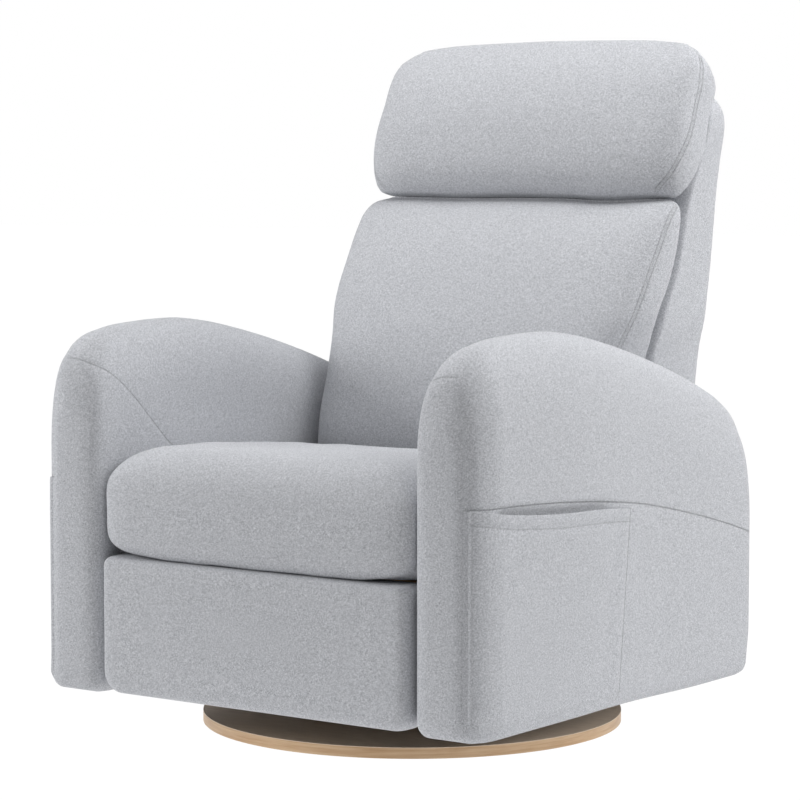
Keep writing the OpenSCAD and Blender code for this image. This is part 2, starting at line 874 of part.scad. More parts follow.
// Chassis: hangs on the rocker links and carries the arms and the seat guides
module chassis_rail() {
  beam_low = rock_low_z - rail_h / 2;
  color("#3c3f42")
    side_plate(rail_x, rail_t)
      difference() {
        union() {
          translate([-rail_front, beam_low])
            square([rail_front + rail_rear, rail_h]);
          for (y = [-rail_front, rail_rear - rail_post])
            translate([y, beam_low])
              square([rail_post, rail_top_z - beam_low]);
        }
        translate([-rock_low_y, rock_low_z])
          circle(rock_pin_r + run_gap);
        translate([rock_low_y, rock_low_z])
          circle(rock_pin_r + loop_gap);
        for (y = [-tube_front_y, tube_rear_y])
          translate([y - tube_side / 2, tube_z - tube_side / 2])
            square(tube_side);
      }
}

module chassis_rail_right() {
  chassis_rail();
}

module chassis_rail_left() {
  mirror([1, 0, 0])
    chassis_rail();
}

module cross_tube(y) {
  color("#3c3f42")
    translate([-side_x, y - tube_side / 2, tube_z - tube_side / 2])
      difference() {
        cube([2 * side_x, tube_side, tube_side]);
        translate([0, tube_wall, tube_wall])
          cube([2 * side_x, tube_side - 2 * tube_wall, tube_side - 2 * tube_wall]);
      }
}

module cross_tube_front() {
  cross_tube(-tube_front_y);
}

module cross_tube_rear() {
  cross_tube(tube_rear_y);
}

module arm_bolt_spots() {
  for (y = [-arm_bolt_y, arm_bolt_y], z = [arm_bolt_low, arm_bolt_high])
    translate([y, z])
      children();
}

module side_frame() {
  top = guide_z + guide_h / 2 + guide_wall;
  mid = (side_low + top) / 2;
  color("#3c3f42")
    side_plate(side_x, side_t)
      difference() {
        panel(-rail_front, side_low, rail_rear, top, plate_corner_r / 2);
        arm_bolt_spots()
          circle(arm_bolt_r);
        for (y = [-side_window_mid, side_window_mid])
          translate([y, 0])
            panel(-side_window_half, mid - rail_h, side_window_half, mid + rail_h, window_r);
      }
}

module side_frame_right() {
  side_frame();
}

module side_frame_left() {
  mirror([1, 0, 0])
    side_frame();
}

module seat_guides() {
  tall = guide_h + 2 * guide_wall;
  color("#6b6e72")
    pair()
      translate([guide_x, -guide_front, guide_z - tall / 2])
        difference() {
          cube([guide_depth, guide_front + guide_rear, tall]);
          translate([0, 0, guide_wall])
            cube([guide_depth - guide_wall, guide_front + guide_rear, guide_h]);
        }
}

module arm_bolts() {
  color("#8d9094")
    pair() {
      side_plate(side_x, arm_in + arm_wall + arm_ply - side_x)
        arm_bolt_spots()
          circle(arm_bolt_r);
      side_plate(side_x - arm_bolt_head_t, arm_bolt_head_t)
        arm_bolt_spots()
          circle(arm_bolt_head_r);
    }
}

// Arms: upholstered forms over a wooden box frame
function arm_ring(s) = let (y = s * arm_len - arm_front, d = min(s, 1 - s) * arm_len, e = end_inset(d, arm_end_r),
  top = arm_low + arm_tall * lookup(s, arm_ridge_shares), low = arm_low + e / 2, so = top - shoulder_out,
  si = top - shoulder_in, xo = arm_out - e, xi = arm_in + e, f = arm_foot_r)
  concat([[xi + f, y, low], [xo - f, y, low], [xo, y, low + f]],
    [for (t = [0:10:90]) [arm_ridge + (xo - arm_ridge) * bend(cos(t), arm_round), y, so + (top - so) * bend(sin(t), arm_round)]],
    [for (t = [80:-10:0]) [arm_ridge + (xi - arm_ridge) * bend(cos(t), arm_round), y, si + (top - si) * bend(sin(t), arm_round)]],
    [[xi, y, low + f]]);

module pocket_shape() {
  polygon([[-pocket_front, pocket_low], [-pocket_rear, pocket_low], [-pocket_rear, hem_rear],
    [-(pocket_front + pocket_rear) / 2, hem_mid], [-pocket_front, hem_front]]);
}

module pocket_room_shape() {
  m = pocket_seam;
  mid = (pocket_front + pocket_rear) / 2;
  polygon([[m - pocket_front, pocket_low + m], [-pocket_rear - m, pocket_low + m], [-pocket_rear - m, hem_rear],
    [-pocket_rear - 3 * m, hem_rear + slit_h], [-mid, hem_mid + slit_h], [5 * m - pocket_front, hem_mid + slit_h * slit_front_share],
    [m - pocket_front, hem_front]]);
}

module arm_form() {
  color("#a9adb4")
    difference() {
      skin([for (s = arm_station_shares) arm_ring(s)], flip = true);
      translate([arm_in + arm_wall - soft_gap, -arm_front + 2 * arm_wall, 0])
        cube([arm_frame_w + 2 * soft_gap, arm_frame_len, arm_frame_top + soft_gap]);
      side_plate(arm_out - pocket_t + pocket_proud - soft_gap, pocket_t)
        offset_pocket();
      side_plate(arm_out - pocket_t + pocket_proud - pocket_depth, pocket_t + pocket_depth + pocket_proud)
        pocket_room_shape();
      side_plate(arm_in, arm_wall)
        arm_bolt_spots()
          circle(arm_bolt_r);
    }
}

module offset_pocket() {
  polygon([[-pocket_front - soft_gap, pocket_low - soft_gap], [soft_gap - pocket_rear, pocket_low - soft_gap],
    [soft_gap - pocket_rear, hem_rear + soft_gap], [-(pocket_front + pocket_rear) / 2, hem_mid + soft_gap],
    [-pocket_front - soft_gap, hem_front + soft_gap]]);
}

module arm_right() {
  arm_form();
}

module arm_left() {
  mirror([1, 0, 0])
    arm_form();
}

module pocket_panel() {
  color("#9da1a8")
    side_plate(arm_out - pocket_t + pocket_proud, pocket_t)
      pocket_shape();
}

module pocket_right() {
  pocket_panel();
}

module pocket_left() {
  mirror([1, 0, 0])
    pocket_panel();
}

module arm_box() {
  y0 = 2 * arm_wall - arm_front + soft_gap;
  y1 = y0 + arm_frame_len - 2 * soft_gap;
  z0 = arm_low + arm_base_t;
  color("#c8a877") {
    side_plate(arm_in + arm_wall, arm_frame_w)
      difference() {
        translate([y0, z0])
          square([y1 - y0, arm_frame_top - z0]);
        translate([y0 + arm_ply, z0 + arm_ply])
          square([y1 - y0 - 2 * arm_ply, arm_frame_top - z0 - 2 * arm_ply]);
      }
    side_plate(arm_in + arm_wall, arm_ply)
      difference() {
        translate([y0 + arm_ply, z0 + arm_ply])
          square([y1 - y0 - 2 * arm_ply, arm_frame_top - z0 - 2 * arm_ply]);
        panel(y0 + arm_ply + arm_rail * arm_window_share, arm_bolt_high + arm_rail / 2, y1 - arm_ply - arm_rail * arm_window_share,
          arm_frame_top - arm_ply - arm_rail / 2, window_r);
        arm_bolt_spots()
          circle(arm_bolt_r);
      }
  }
}

module arm_frame_right() {
  arm_box();
}

module arm_frame_left() {
  mirror([1, 0, 0])
    arm_box();
}

module arm_base() {
  color("#242424")
    translate([arm_in + arm_wall, 2 * arm_wall - arm_front + soft_gap, arm_low])
      cube([arm_frame_w, arm_frame_len - 2 * soft_gap, arm_base_t]);
}

module arm_base_right() {
  arm_base();
}

module arm_base_left() {
  mirror([1, 0, 0])
    arm_base();
}

// Release: a pull tab in a guide on the inner face of one arm
module release_guide() {
  depth = tab_t + run_gap;
  color("#2c2c2e")
    translate([arm_in - tab_guide_t, tab_y - tab_guide_w / 2 - 2 * tab_y, tab_guide_low])
      difference() {
        cube([tab_guide_t, tab_guide_w, tab_guide_h]);
        translate([0, (tab_guide_w - tab_w) / 2 - run_gap, 0])
          cube([depth, tab_w + 2 * run_gap, tab_guide_h]);
      }
}

module release_tab() {
  color("#2c2c2e")
    side_plate(arm_in - tab_guide_t - run_gap, tab_t)
      difference() {
        panel(-tab_y - tab_w / 2, tab_guide_low, -tab_y + tab_w / 2, tab_guide_low + tab_h, tab_w / 4);
        translate([-tab_y, tab_guide_low + tab_h - tab_w / 2])
          circle(tab_hole_r);
      }
}

// Seat: slides in the chassis guides and carries the cushion
module seat_base_frame() {
  color("#c8a877")
    difference() {
      translate([0, 0, seat_frame_z])
        linear_extrude(seat_frame_h)
          difference() {
            union() {
              translate([-seat_half, -seat_front])
                square([2 * seat_half, seat_front + seat_rear]);
              for (x = [-seat_half, seat_half - seat_rail])
                translate([x, 0])
                  square([seat_rail, seat_tail]);
            }
            translate([seat_rail - seat_half, seat_rail - seat_front])
              square([2 * (seat_half - seat_rail), seat_front + seat_rear - 2 * seat_rail]);
          }
      pin(back_pivot_y, back_pivot_z, -seat_half, seat_half, back_pin_r + run_gap);
    }
}

module glide_blocks() {
  tall = guide_h - 2 * block_gap;
  color("#ece8df")
    pair()
      for (y = [-block_front, block_rear])
        translate([seat_half, y - block_len / 2, guide_z - tall / 2])
          cube([side_x - guide_wall - block_gap * 3 - seat_half, block_len, tall]);
}

module seat_springs() {
  span = seat_front + seat_rear - seat_rail;
  count = floor(span / spring_pitch);
  mid = (seat_rear - seat_front) / 2;
  color("#7d8084")
    for (i = [0:seat_spring_count - 1])
      translate([(i - (seat_spring_count - 1) / 2) * seat_spring_pitch, mid, seat_top])
        linear_extrude(spring_wire)
          zigzag(count, spring_amp, spring_pitch, spring_wire);
}

module seat_cushion() {
  depth = cushion_front + cushion_rear;
  rr = cushion_front_r;
  br = cushion_rear_r;
  stations = concat([for (t = [0:18:90]) rr * (1 - cos(t))], [for (s = cushion_station_shares) depth * s],
    [for (t = [90:-30:0]) depth - br * (1 - cos(t))]);
  color("#b3b7be")
    skin([for (d = stations) let (e = d < rr ? end_inset(d, rr) : end_inset(depth - d, br),
      drop = cushion_drop * pow(d / depth, 2))
      upright_ring(d - cushion_front, cushion_half - e, cushion_low + e * tuck_share, cushion_belly - drop / 2, cushion_high - drop - e)],
      flip = true);
}

// Back: reclines on two pins through the seat rails
module back_panel_shape() {
  polygon(concat([for (z = frame_levels) [frame_front(z), z]],
    [for (i = [len(frame_levels) - 1:-1:0]) [frame_rear(frame_levels[i]), frame_levels[i]]]));
}

module back_rail_shape(z0) {
  polygon([for (p = [[z0, frame_t], [z0, 0], [z0 + frame_rail_h, 0], [z0 + frame_rail_h, frame_t]])
    [frame_rear(p[0]) - p[1], p[0]]]);
}

module back_frame() {
  color("#c8a877") {
    pair()
      side_plate(frame_half - frame_post, frame_post)
        back_panel_shape();
    side_plate(frame_post - frame_half, 2 * (frame_half - frame_post))
      for (z = [frame_low, (frame_low + frame_high - frame_rail_h) / 2, frame_high - frame_rail_h])
        back_rail_shape(z);
  }
}

module back_brackets() {
  post_y = frame_front(back_pivot_z) + frame_post / 2;
  color("#3c3f42")
    pair()
      side_plate(frame_half - frame_post - stand_t, stand_t)
        difference() {
          union() {
            bar([back_pivot_y, back_pivot_z], [post_y, back_pivot_z], 2 * link_eye_r, link_eye_r);
            bar([post_y, back_pivot_z], [post_y, back_pivot_z + frame_rail_h], frame_post, frame_post / 2);
          }
          translate([back_pivot_y, back_pivot_z])
            circle(back_pin_r);
        }
}

module back_pins() {
  inner = frame_half - frame_post - stand_t;
  color("#9a9da0")
    pair() {
      pin(back_pivot_y, back_pivot_z, inner, seat_half, back_pin_r);
      difference() {
        pin(back_pivot_y, back_pivot_z, inner + stand_t, seat_half - seat_rail - run_gap, rock_head_r);
        pin(back_pivot_y, back_pivot_z, inner + stand_t, seat_half - seat_rail, back_pin_r);
      }
      pin(back_pivot_y, back_pivot_z, inner - rock_head_t, inner, rock_head_r);
    }
}

module back_springs() {
  count = floor(2 * (frame_half - frame_post / 2) / spring_pitch);
  color("#7d8084")
    for (i = [0:back_spring_count - 1]) {
      z = frame_low + (i + spring_low_share) * (frame_high - frame_low) / (back_spring_count + 2 * spring_low_share - 1);
      lean = atan2(frame_front(z + spring_amp) - frame_front(z - spring_amp), 2 * spring_amp);
      translate([0, frame_front(z), z])
        rotate([90 - lean, 0, 0])
          rotate(90)
            linear_extrude(spring_wire)
              zigzag(count, spring_amp, spring_pitch, spring_wire);
    }
}

module back_shell() {
  color("#a4a8af")
    difference() {
      skin([for (s = shell_shares) let (f = s[1] * full_reach, r = s[2] * full_reach, c = min(f + rear_depth, (f + r) / 2))
        level_ring(s[0] * full_high, shell_half * s[3], f, c, r, flat_round, seat_floor_round)]);
      side_plate(-shell_mouth, 2 * shell_mouth)
        polygon(concat([[0, frame_low - soft_gap]],
          [for (z = frame_levels) [frame_rear(z) + soft_gap, z == frame_low ? z - soft_gap : z]],
          [[frame_rear(frame_high) + soft_gap, frame_high + soft_gap], [0, frame_high + soft_gap]]));
    }
}

module back_cushion() {
  color("#b3b7be")
    skin([for (s = back_levels) let (z = s * full_high, r = shell_front(z) - soft_gap)
      level_ring(z, back_half * share_at(s, cushion_shares, 2), full_reach * share_at(s, cushion_shares, 1),
        r - rear_depth, r, crown_round, flat_round)]);
}

module head_cushion() {
  color("#b3b7be")
    skin([for (s = head_levels) let (z = s * full_high, f = full_reach * share_at(s, head_shares, 1),
      r = s > head_free ? full_reach * share_at(s, head_shares, 2) : shell_front(z) - soft_gap)
      level_ring(z, head_half * share_at(s, head_shares, 3), f, max(r - rear_depth, (f + r) / 2), r, crown_round,
        s > head_free ? crown_round : flat_round)]);
}

// Footrest: scissor links push the panel out and turn it up
module footrest_plates() {
  top = seat_frame_z;
  lean = way(push_rise - 90);
  e = foot_plate_edge;
  color("#3c3f42")
    pair()
      side_plate(foot_plate_x, bar_t)
        difference() {
          union() {
            bar(slot_pt, slot_end, 2 * e, e);
            polygon([[fixed_pt[0] - 2 * e, top], [fixed_pt[0] + 3 * e, top], [fixed_pt[0] + 2 * e, slot_end[1] - 2 * e],
              [fixed_pt[0] - e * plate_foot_share, slot_end[1] - 2 * e]]);
          }
          bar(slot_pt, slot_end, 2 * (rivet_r + block_gap), rivet_r + block_gap);
          translate(fixed_pt)
            circle(rivet_r + run_gap);
        }
}

// A link in the outer plane with rivets at some of its pivots
module outer_link(p, q, rivets) {
  side_plate(bar_a, bar_t)
    bar(p, q, bar_w, bar_eye_r);
  for (c = rivets)
    pin(c[0], c[1], bar_b, bar_a, rivet_r);
}

module inner_link(p, q, holes) {
  side_plate(bar_b, bar_t)
    difference() {
      bar(p, q, bar_w, bar_eye_r);
      for (c = holes)
        translate(c)
          circle(rivet_r + block_gap);
    }
}

module footrest_link_1() {
  color("#6b6e72")
    pair() {
      outer_link(fixed_pt, low_one, [cross_one, low_one]);
      pin(fixed_pt[0], fixed_pt[1], bar_a + bar_t, seat_half, rivet_r);
    }
}

module footrest_link_2() {
  color("#74777b")
    pair() {
      difference() {
        inner_link(slot_pt, high_one, [cross_one, high_one]);
        pin(torque_pt[0], torque_pt[1], bar_b, bar_b + bar_t, torque_r);
      }
      pin(slot_pt[0], slot_pt[1], bar_b + bar_t, seat_half, rivet_r);
    }
}

module torque_tube() {
  reach = bar_b + bar_t;
  color("#3c3f42")
    difference() {
      pin(torque_pt[0], torque_pt[1], -reach, reach, torque_r);
      pin(torque_pt[0], torque_pt[1], -reach, reach, torque_r - tube_wall);
    }
}

module footrest_link_3() {
  color("#74777b")
    pair()
      inner_link(low_one, high_two, [low_one, cross_two, high_two]);
}

module footrest_link_4() {
  color("#6b6e72")
    pair()
      outer_link(high_one, low_two, [high_one, cross_two, low_two]);
}

module footrest_link_5() {
  color("#74777b")
    pair()
      inner_link(low_two, cross_three, [low_two, cross_three]);
}

module footrest_carriers() {
  color("#6b6e72")
    pair() {
      outer_link(high_two, low_three, [high_two, cross_three]);
      side_plate(bar_a, bar_t)
        polygon([high_two + [-bar_w / 2, -bar_w / 2], low_three + [-bar_w / 2, bar_w], [-panel_back, carrier_low],
          [-panel_back, carrier_high]]);
      translate([bar_a - carrier_flange, -panel_back, carrier_low])
        cube([carrier_flange, bar_t, carrier_high - carrier_low]);
    }
}

module footrest_board() {
  w = panel_half - board_inset;
  color("#c8a877")
    front_plate(-panel_back - board_t, board_t)
      panel(-w, panel_low + board_inset, w, panel_high - board_inset, panel_corner_r - board_inset);
}

module footrest_pad() {
  front = panel_back + board_t + foot_pad_t;
  back = panel_back + board_t;
  mid = (panel_low + panel_high) / 2;
  half_h = (panel_high - panel_low) / 2;
  color("#b3b7be")
    skin([for (s = [[0, 0], [0.25, 0], [0.5, 0.012], [0.72, 0.035], [0.88, 0.08], [0.97, 0.16], [1, 0.24]])
      [for (j = [0:ring_points - 1]) let (c = cos(360 * j / ring_points), t = sin(360 * j / ring_points), e = s[1] * half_h)
        [(panel_half - e) * bend(c, flat_round), -back - s[0] * (front - back), mid + (half_h - e) * bend(t, flat_round)]]]);
}

floor_pad();
base_disc();
base_edge_band();
base_top_skin();
swivel_low_plate();
plate_screws();
king_pin();
king_nut();
swivel_balls();
ball_cage();
swivel_top_plate();
rocker_stand_right();
rocker_stand_left();
stand_tubes();
stand_bolts();
rocker_pins();
rocker_buffers();
front_rocker_links();
front_rocker_rod();
rear_rocker_links();
rear_rocker_rod();
chassis_rail_right();
chassis_rail_left();
cross_tube_front();
cross_tube_rear();
side_frame_right();
side_frame_left();
seat_guides();
arm_bolts();
arm_right();
arm_left();
arm_frame_right();
arm_frame_left();
arm_base_right();
arm_base_left();
pocket_right();
pocket_left();
release_guide();
release_tab();
seat_base_frame();
glide_blocks();
seat_springs();
seat_cushion();
back_frame();
back_brackets();
back_pins();
back_springs();
back_shell();
back_cushion();
head_cushion();
footrest_plates();
footrest_link_1();
footrest_link_2();
torque_tube();
footrest_link_3();
footrest_link_4();
footrest_link_5();
footrest_carriers();
footrest_board();
footrest_pad();
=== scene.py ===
# %% [markdown]
# Swivel rocker recliner
#
# The model made before this scene holds every solid of the chair: the round base, the ball race, the
# rocker, the frames, the footrest levers and the foam. Its hard pieces are shown as they are and only
# get a finish here. Foam under cloth looks like no machined solid, so each soft piece is made a second
# time, as a smooth closed form in metres in the same frame, and rides on the same body. When the chair
# rocks, swivels or reclines, the scene follows.

# %% Load the model
import bpy
import bmesh
import json
import numpy as np
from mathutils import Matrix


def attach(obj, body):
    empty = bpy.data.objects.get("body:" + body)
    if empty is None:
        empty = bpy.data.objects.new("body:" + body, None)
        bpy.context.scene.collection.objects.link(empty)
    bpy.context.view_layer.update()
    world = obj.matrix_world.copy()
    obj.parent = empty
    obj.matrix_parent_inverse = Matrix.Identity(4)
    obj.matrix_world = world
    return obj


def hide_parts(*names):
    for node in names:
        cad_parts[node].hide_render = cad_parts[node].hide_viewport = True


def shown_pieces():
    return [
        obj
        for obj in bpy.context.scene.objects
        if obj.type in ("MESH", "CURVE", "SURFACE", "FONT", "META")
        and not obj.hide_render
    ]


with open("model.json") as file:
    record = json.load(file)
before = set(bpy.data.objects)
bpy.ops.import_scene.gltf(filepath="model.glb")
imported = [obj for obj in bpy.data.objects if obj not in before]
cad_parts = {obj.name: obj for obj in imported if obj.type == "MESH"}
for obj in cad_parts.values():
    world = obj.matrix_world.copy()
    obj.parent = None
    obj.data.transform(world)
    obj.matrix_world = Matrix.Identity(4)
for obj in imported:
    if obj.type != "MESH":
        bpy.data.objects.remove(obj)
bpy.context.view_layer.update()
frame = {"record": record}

# %% [markdown]
# Curves through marks
#
# An upholsterer's pattern is a few marks joined with a bent batten. The same is done here: a table
# holds a height, a depth or a width at a few places, and a cubic runs smoothly through them. Curves
# drawn by hand would do as well, but a table shows real sizes and is easy to correct.

# %% Smooth tables
def smooth(x, xs, ys):
    """Cubic through the points (xs, ys). The slope at a point is the mean of the slopes beside it, and
    zero at a peak, so that the curve never swings past its marks."""
    xs, ys = np.asarray(xs, float), np.asarray(ys, float)
    h = np.diff(xs)
    d = np.diff(ys) / h
    m = np.concatenate([[d[0]], (d[:-1] * h[1:] + d[1:] * h[:-1]) / (h[:-1] + h[1:]), [d[-1]]])
    m[1:-1] = np.where(d[:-1] * d[1:] <= 0, 0, m[1:-1])
    x = np.clip(x, xs[0], xs[-1])
    i = np.clip(np.searchsorted(xs, x) - 1, 0, len(h) - 1)
    t = (x - xs[i]) / h[i]
    return ((2 * t**3 - 3 * t**2 + 1) * ys[i] + (t**3 - 2 * t**2 + t) * h[i] * m[i]
            + (3 * t**2 - 2 * t**3) * ys[i + 1] + (t**3 - t**2) * h[i] * m[i + 1])


print("between the marks 0 and 1 of a hill:", float(smooth(0.5, [0, 1, 2], [0, 1, 0])))


# %% Rounded boxes and soft steps
def bend(v, n):
    """Signed power 2/n of v: with cosine and sine it turns a circle into a rounded box of order n."""
    return np.sign(v) * np.abs(v) ** (2 / n)


def ramp(x, a, b):
    """0 below a, 1 above b, and the smooth step 3 t^2 - 2 t^3 between them."""
    t = np.clip((x - a) / (b - a), 0, 1)
    return t * t * (3 - 2 * t)


def band(x, low, high, fade=0.006):
    """1 between low and high, fading to 0 over the fade length outside."""
    return ramp(x, low - fade, low) * (1 - ramp(x, high, high + fade))


for order in (2, 4, 8):
    print("order", order, "fills its corner to", round(float(bend(np.cos(np.pi / 4), order)), 3))

# %% [markdown]
# Padding and its mesh
#
# A soft piece is a stack of rings: a grid of points whose rows run along the piece and whose columns
# run round it. Whole grids are worked out at once as arrays, so each shape stays one formula. Sculpting
# or a cloth simulation could give the same swell, but the arms and cushions of this chair are drawn
# tight over foam, with long even curves that a formula holds better. Padding is still never quite even,
# so waves less than a millimetre high are laid over it, made of sines and so alike in each run.

# %% Uneven padding
WAVE_HEIGHT = 0.0007


def uneven(grid, size=WAVE_HEIGHT):
    """Pushes the points away from the middle line of the piece by three crossing waves, each a sine
    of a mix of x, y and z, about 60 to 120 mm long and size metres high."""
    x, y, z = np.moveaxis(grid, -1, 0)
    wave = (np.sin(43 * x + 31 * z + 2.1 * np.sin(19 * y))
            + np.sin(67 * z - 38 * y + 1.7 * np.sin(23 * x))
            + np.sin(91 * x + 52 * y - 29 * z))
    away = grid - grid.mean(1, keepdims=True)
    away = away / (np.linalg.norm(away, axis=-1, keepdims=True) + 1e-6)
    return grid + away * (size * wave)[..., None]


print("waves", WAVE_HEIGHT * 1000, "mm high")


# %% Closed ends and the mesh
def capped(grid, push0, push1, rows=10):
    """The grid with both ends closed: end ring k times its size about its centre, pushed outward by
    push (1 - k^2)."""
    k = np.linspace(0, 1, rows, endpoint=False)[:, None, None]
    c0, c1 = grid[0].mean(0), grid[-1].mean(0)
    first = c0 + (grid[0] - c0) * k + np.array(push0) * (1 - k**2)
    last = c1 + (grid[-1] - c1) * k[::-1] + np.array(push1) * (1 - k[::-1] ** 2)
    return np.concatenate([first, grid, last])


def grid_mesh(name, grid, body, nodes):
    """A closed mesh from a grid of points (rows, columns, 3) whose columns join round, as a padded piece
    that rides on a body and stands for the named nodes."""
    m, n = grid.shape[:2]
    a = np.arange(m * n).reshape(m, n)
    b = np.roll(a, -1, axis=1)
    quads = np.stack([a[:-1], b[:-1], b[1:], a[1:]], axis=-1).reshape(-1, 4)
    mesh = bpy.data.meshes.new(name)
    mesh.from_pydata(grid.reshape(-1, 3).tolist(), [], quads.tolist())
    bm = bmesh.new()
    bm.from_mesh(mesh)
    bmesh.ops.remove_doubles(bm, verts=bm.verts, dist=1e-5)
    bmesh.ops.recalc_face_normals(bm, faces=bm.faces)
    bm.to_mesh(mesh)
    bm.free()
    mesh.polygons.foreach_set("use_smooth", [True] * len(mesh.polygons))
    obj = bpy.data.objects.new(name, mesh)
    bpy.context.scene.collection.objects.link(obj)
    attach(obj, body)
    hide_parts(*nodes)
    print(name, len(mesh.polygons), "faces")
    return obj

# %% [markdown]
# Seams
#
# The cloth is sewn along a few lines that every eye finds first. Cutting them into the mesh would need
# points as close as the thread is thin. So each seam is kept as three numbers at each point: the
# signed distance from it, its strength, which fades out past its ends, and the length along it. The
# cloth finish turns them into a groove, and the double one also into two rows of stitches.
# Grooves and stitch rows are also darkened in the colour, as painted shade.

# %% Seams as point attributes
NO_SEAM = (1.0, 0.0, 0.0)


def points(obj):
    """The points of a mesh as an array of x, y, z columns."""
    co = np.empty(len(obj.data.vertices) * 3)
    obj.data.vertices.foreach_get("co", co)
    return co.reshape(-1, 3)


def line_distance(u, v, us, vs, step=0.002):
    """Signed distance of (u, v) from the curve v(u): the gap along v times the cosine of the slope."""
    slope = (smooth(u + step, us, vs) - smooth(u - step, us, vs)) / (2 * step)
    return (v - smooth(u, us, vs)) / np.sqrt(1 + slope**2)


def store(obj, *plain, double=NO_SEAM):
    """Saves up to three plain seams and a double one, each as distance, strength and run."""
    seams = list(plain) + [NO_SEAM] * (3 - len(plain)) + [double]
    count = len(obj.data.vertices)
    for name, seam in zip(("seam_a", "seam_b", "seam_c", "double"), seams):
        values = np.stack([np.broadcast_to(np.asarray(v, np.float32), count) for v in seam], axis=-1)
        obj.data.attributes.new(name, "FLOAT_VECTOR", "POINT").data.foreach_set("vector", values.ravel())


print("a piece without seams stores the distance", NO_SEAM[0], "m and the strength", NO_SEAM[1])

# %% [markdown]
# Arms
#
# Each arm is a wooden box wrapped in foam, high and arched, falling away to the rear. A bevelled box
# would keep straight edges. Here a cross section is a ring with a flat foot, straight sides and an arch
# of two quarter ovals that meet on a ridge, a little outside of the middle. The ridge follows the side
# profile of the arm, and both ends draw in to a round edge.

# %% Arm sizes and outlines
ARM_IN, ARM_OUT, RIDGE = 0.278, 0.383, 0.335
ARM_HALF = (ARM_OUT - ARM_IN) / 2
ARM_FRONT, ARM_REAR, ARM_LOW = -0.398, 0.371, 0.063
END_ROUND, END_ORDER = 0.040, 3.2
ARCH_OUT, ARCH_IN, ARCH_ORDER = 0.140, 0.115, 2.35
ARM_FOOT_ROUND, FOOT_FALL = 0.019, 0.007

ridge_y = [-0.398, -0.390, -0.378, -0.352, -0.310, -0.240, -0.165, -0.099, -0.003,
           0.102, 0.195, 0.262, 0.305, 0.335, 0.354, 0.366, 0.371]
ridge_z = [0.500, 0.540, 0.562, 0.582, 0.594, 0.601, 0.603, 0.597, 0.579,
           0.553, 0.525, 0.501, 0.482, 0.461, 0.432, 0.388, 0.320]
side_seam_y = [-0.398, -0.286, -0.187, -0.083, 0.026, 0.139, 0.258, 0.372]
side_seam_z = [0.378, 0.376, 0.371, 0.362, 0.349, 0.328, 0.301, 0.270]
hem_y = [-0.388, -0.352, -0.292, -0.192, -0.088, -0.014]
hem_z = [0.377, 0.371, 0.364, 0.357, 0.353, 0.347]
print("arm", round(ARM_OUT - ARM_IN, 3), "wide", round(ARM_REAR - ARM_FRONT, 3), "long", max(ridge_z), "high")

# %% [markdown]
# The outer side of an arm and its corner
#
# An upright seam runs down the outer front corner, and the cloth dips toward it in a soft valley. To
# place that valley, and later the pocket, lengths are measured along the outline of the arm as seen
# from above: round the corner, then straight back. Zero is at the corner seam.

# %% Outline from above
CORNER_Y, FULLER = -0.3935, 0.009
CORNER_STEPS = 500


def full_side(y):
    """The outer side stands up to 9 mm fuller over its front half, between two soft steps."""
    return FULLER * ramp(y, -0.385, -0.335) * (1 - ramp(y, -0.15, 0.10))


corner_t = np.linspace(0, 1, CORNER_STEPS)
corner_y = ARM_FRONT + END_ROUND * (1 - (1 - corner_t**END_ORDER) ** (1 / END_ORDER))
side_y = np.linspace(corner_y[-1], ARM_REAR, 60)[1:]
outline_y = np.concatenate([corner_y, side_y])
outline_x = np.concatenate([(ARM_IN + ARM_OUT) / 2 + ARM_HALF * corner_t, ARM_OUT + 0 * side_y])
outline_x = outline_x + full_side(outline_y)
outline_s = np.concatenate([[0], np.cumsum(np.hypot(np.diff(outline_x), np.diff(outline_y)))])
outline_s = outline_s - np.interp(CORNER_Y, outline_y, outline_s)
print("from the corner seam to the rear", round(float(outline_s[-1]), 3), "m")


# %% The valley along the corner seam
DIP, DIP_FRONT, DIP_BEHIND = 0.0022, 0.014, 0.020
BEYOND, BEYOND_AT = 0.0012, 0.042


def valley(s, z):
    """At s metres along the outline the cloth dips exp(-(s / w)^2) toward the corner seam, with w 14 mm
    in front and 20 mm behind, and swells a little 42 mm beyond. It fades out at the foot and the arch."""
    dip = DIP * np.exp(-((s / np.where(s < 0, DIP_FRONT, DIP_BEHIND)) ** 2))
    dip = dip - BEYOND * np.exp(-(((s - BEYOND_AT) / DIP_BEHIND) ** 2))
    return dip * ramp(z, 0.075, 0.12) * (1 - ramp(z, 0.50, 0.585))


def outward(s, step=0.001):
    """Unit normal (x, y) of the outline at s metres from the corner seam."""
    dx = np.interp(s + step, outline_s, outline_x) - np.interp(s - step, outline_s, outline_x)
    dy = np.interp(s + step, outline_s, outline_y) - np.interp(s - step, outline_s, outline_y)
    size = np.hypot(dx, dy) + 1e-9
    return dy / size, -dx / size


print("deepest dip", round(float(valley(0.0, 0.3)) * 1000, 2), "mm")

# %% [markdown]
# The ring of an arm
#
# The ring is written in six stretches: two foot corners, the outer side, the outer and the inner half
# of the arch, and the inner side. Behind the pocket the side is drawn in, so that the pocket is truly
# open. Toward the seat the arm swells by a few millimetres, as foam does that nothing holds.

# %% Arm rings
HOLLOW, SWELL, BACK_FOOT = 0.006, 0.0025, 0.009


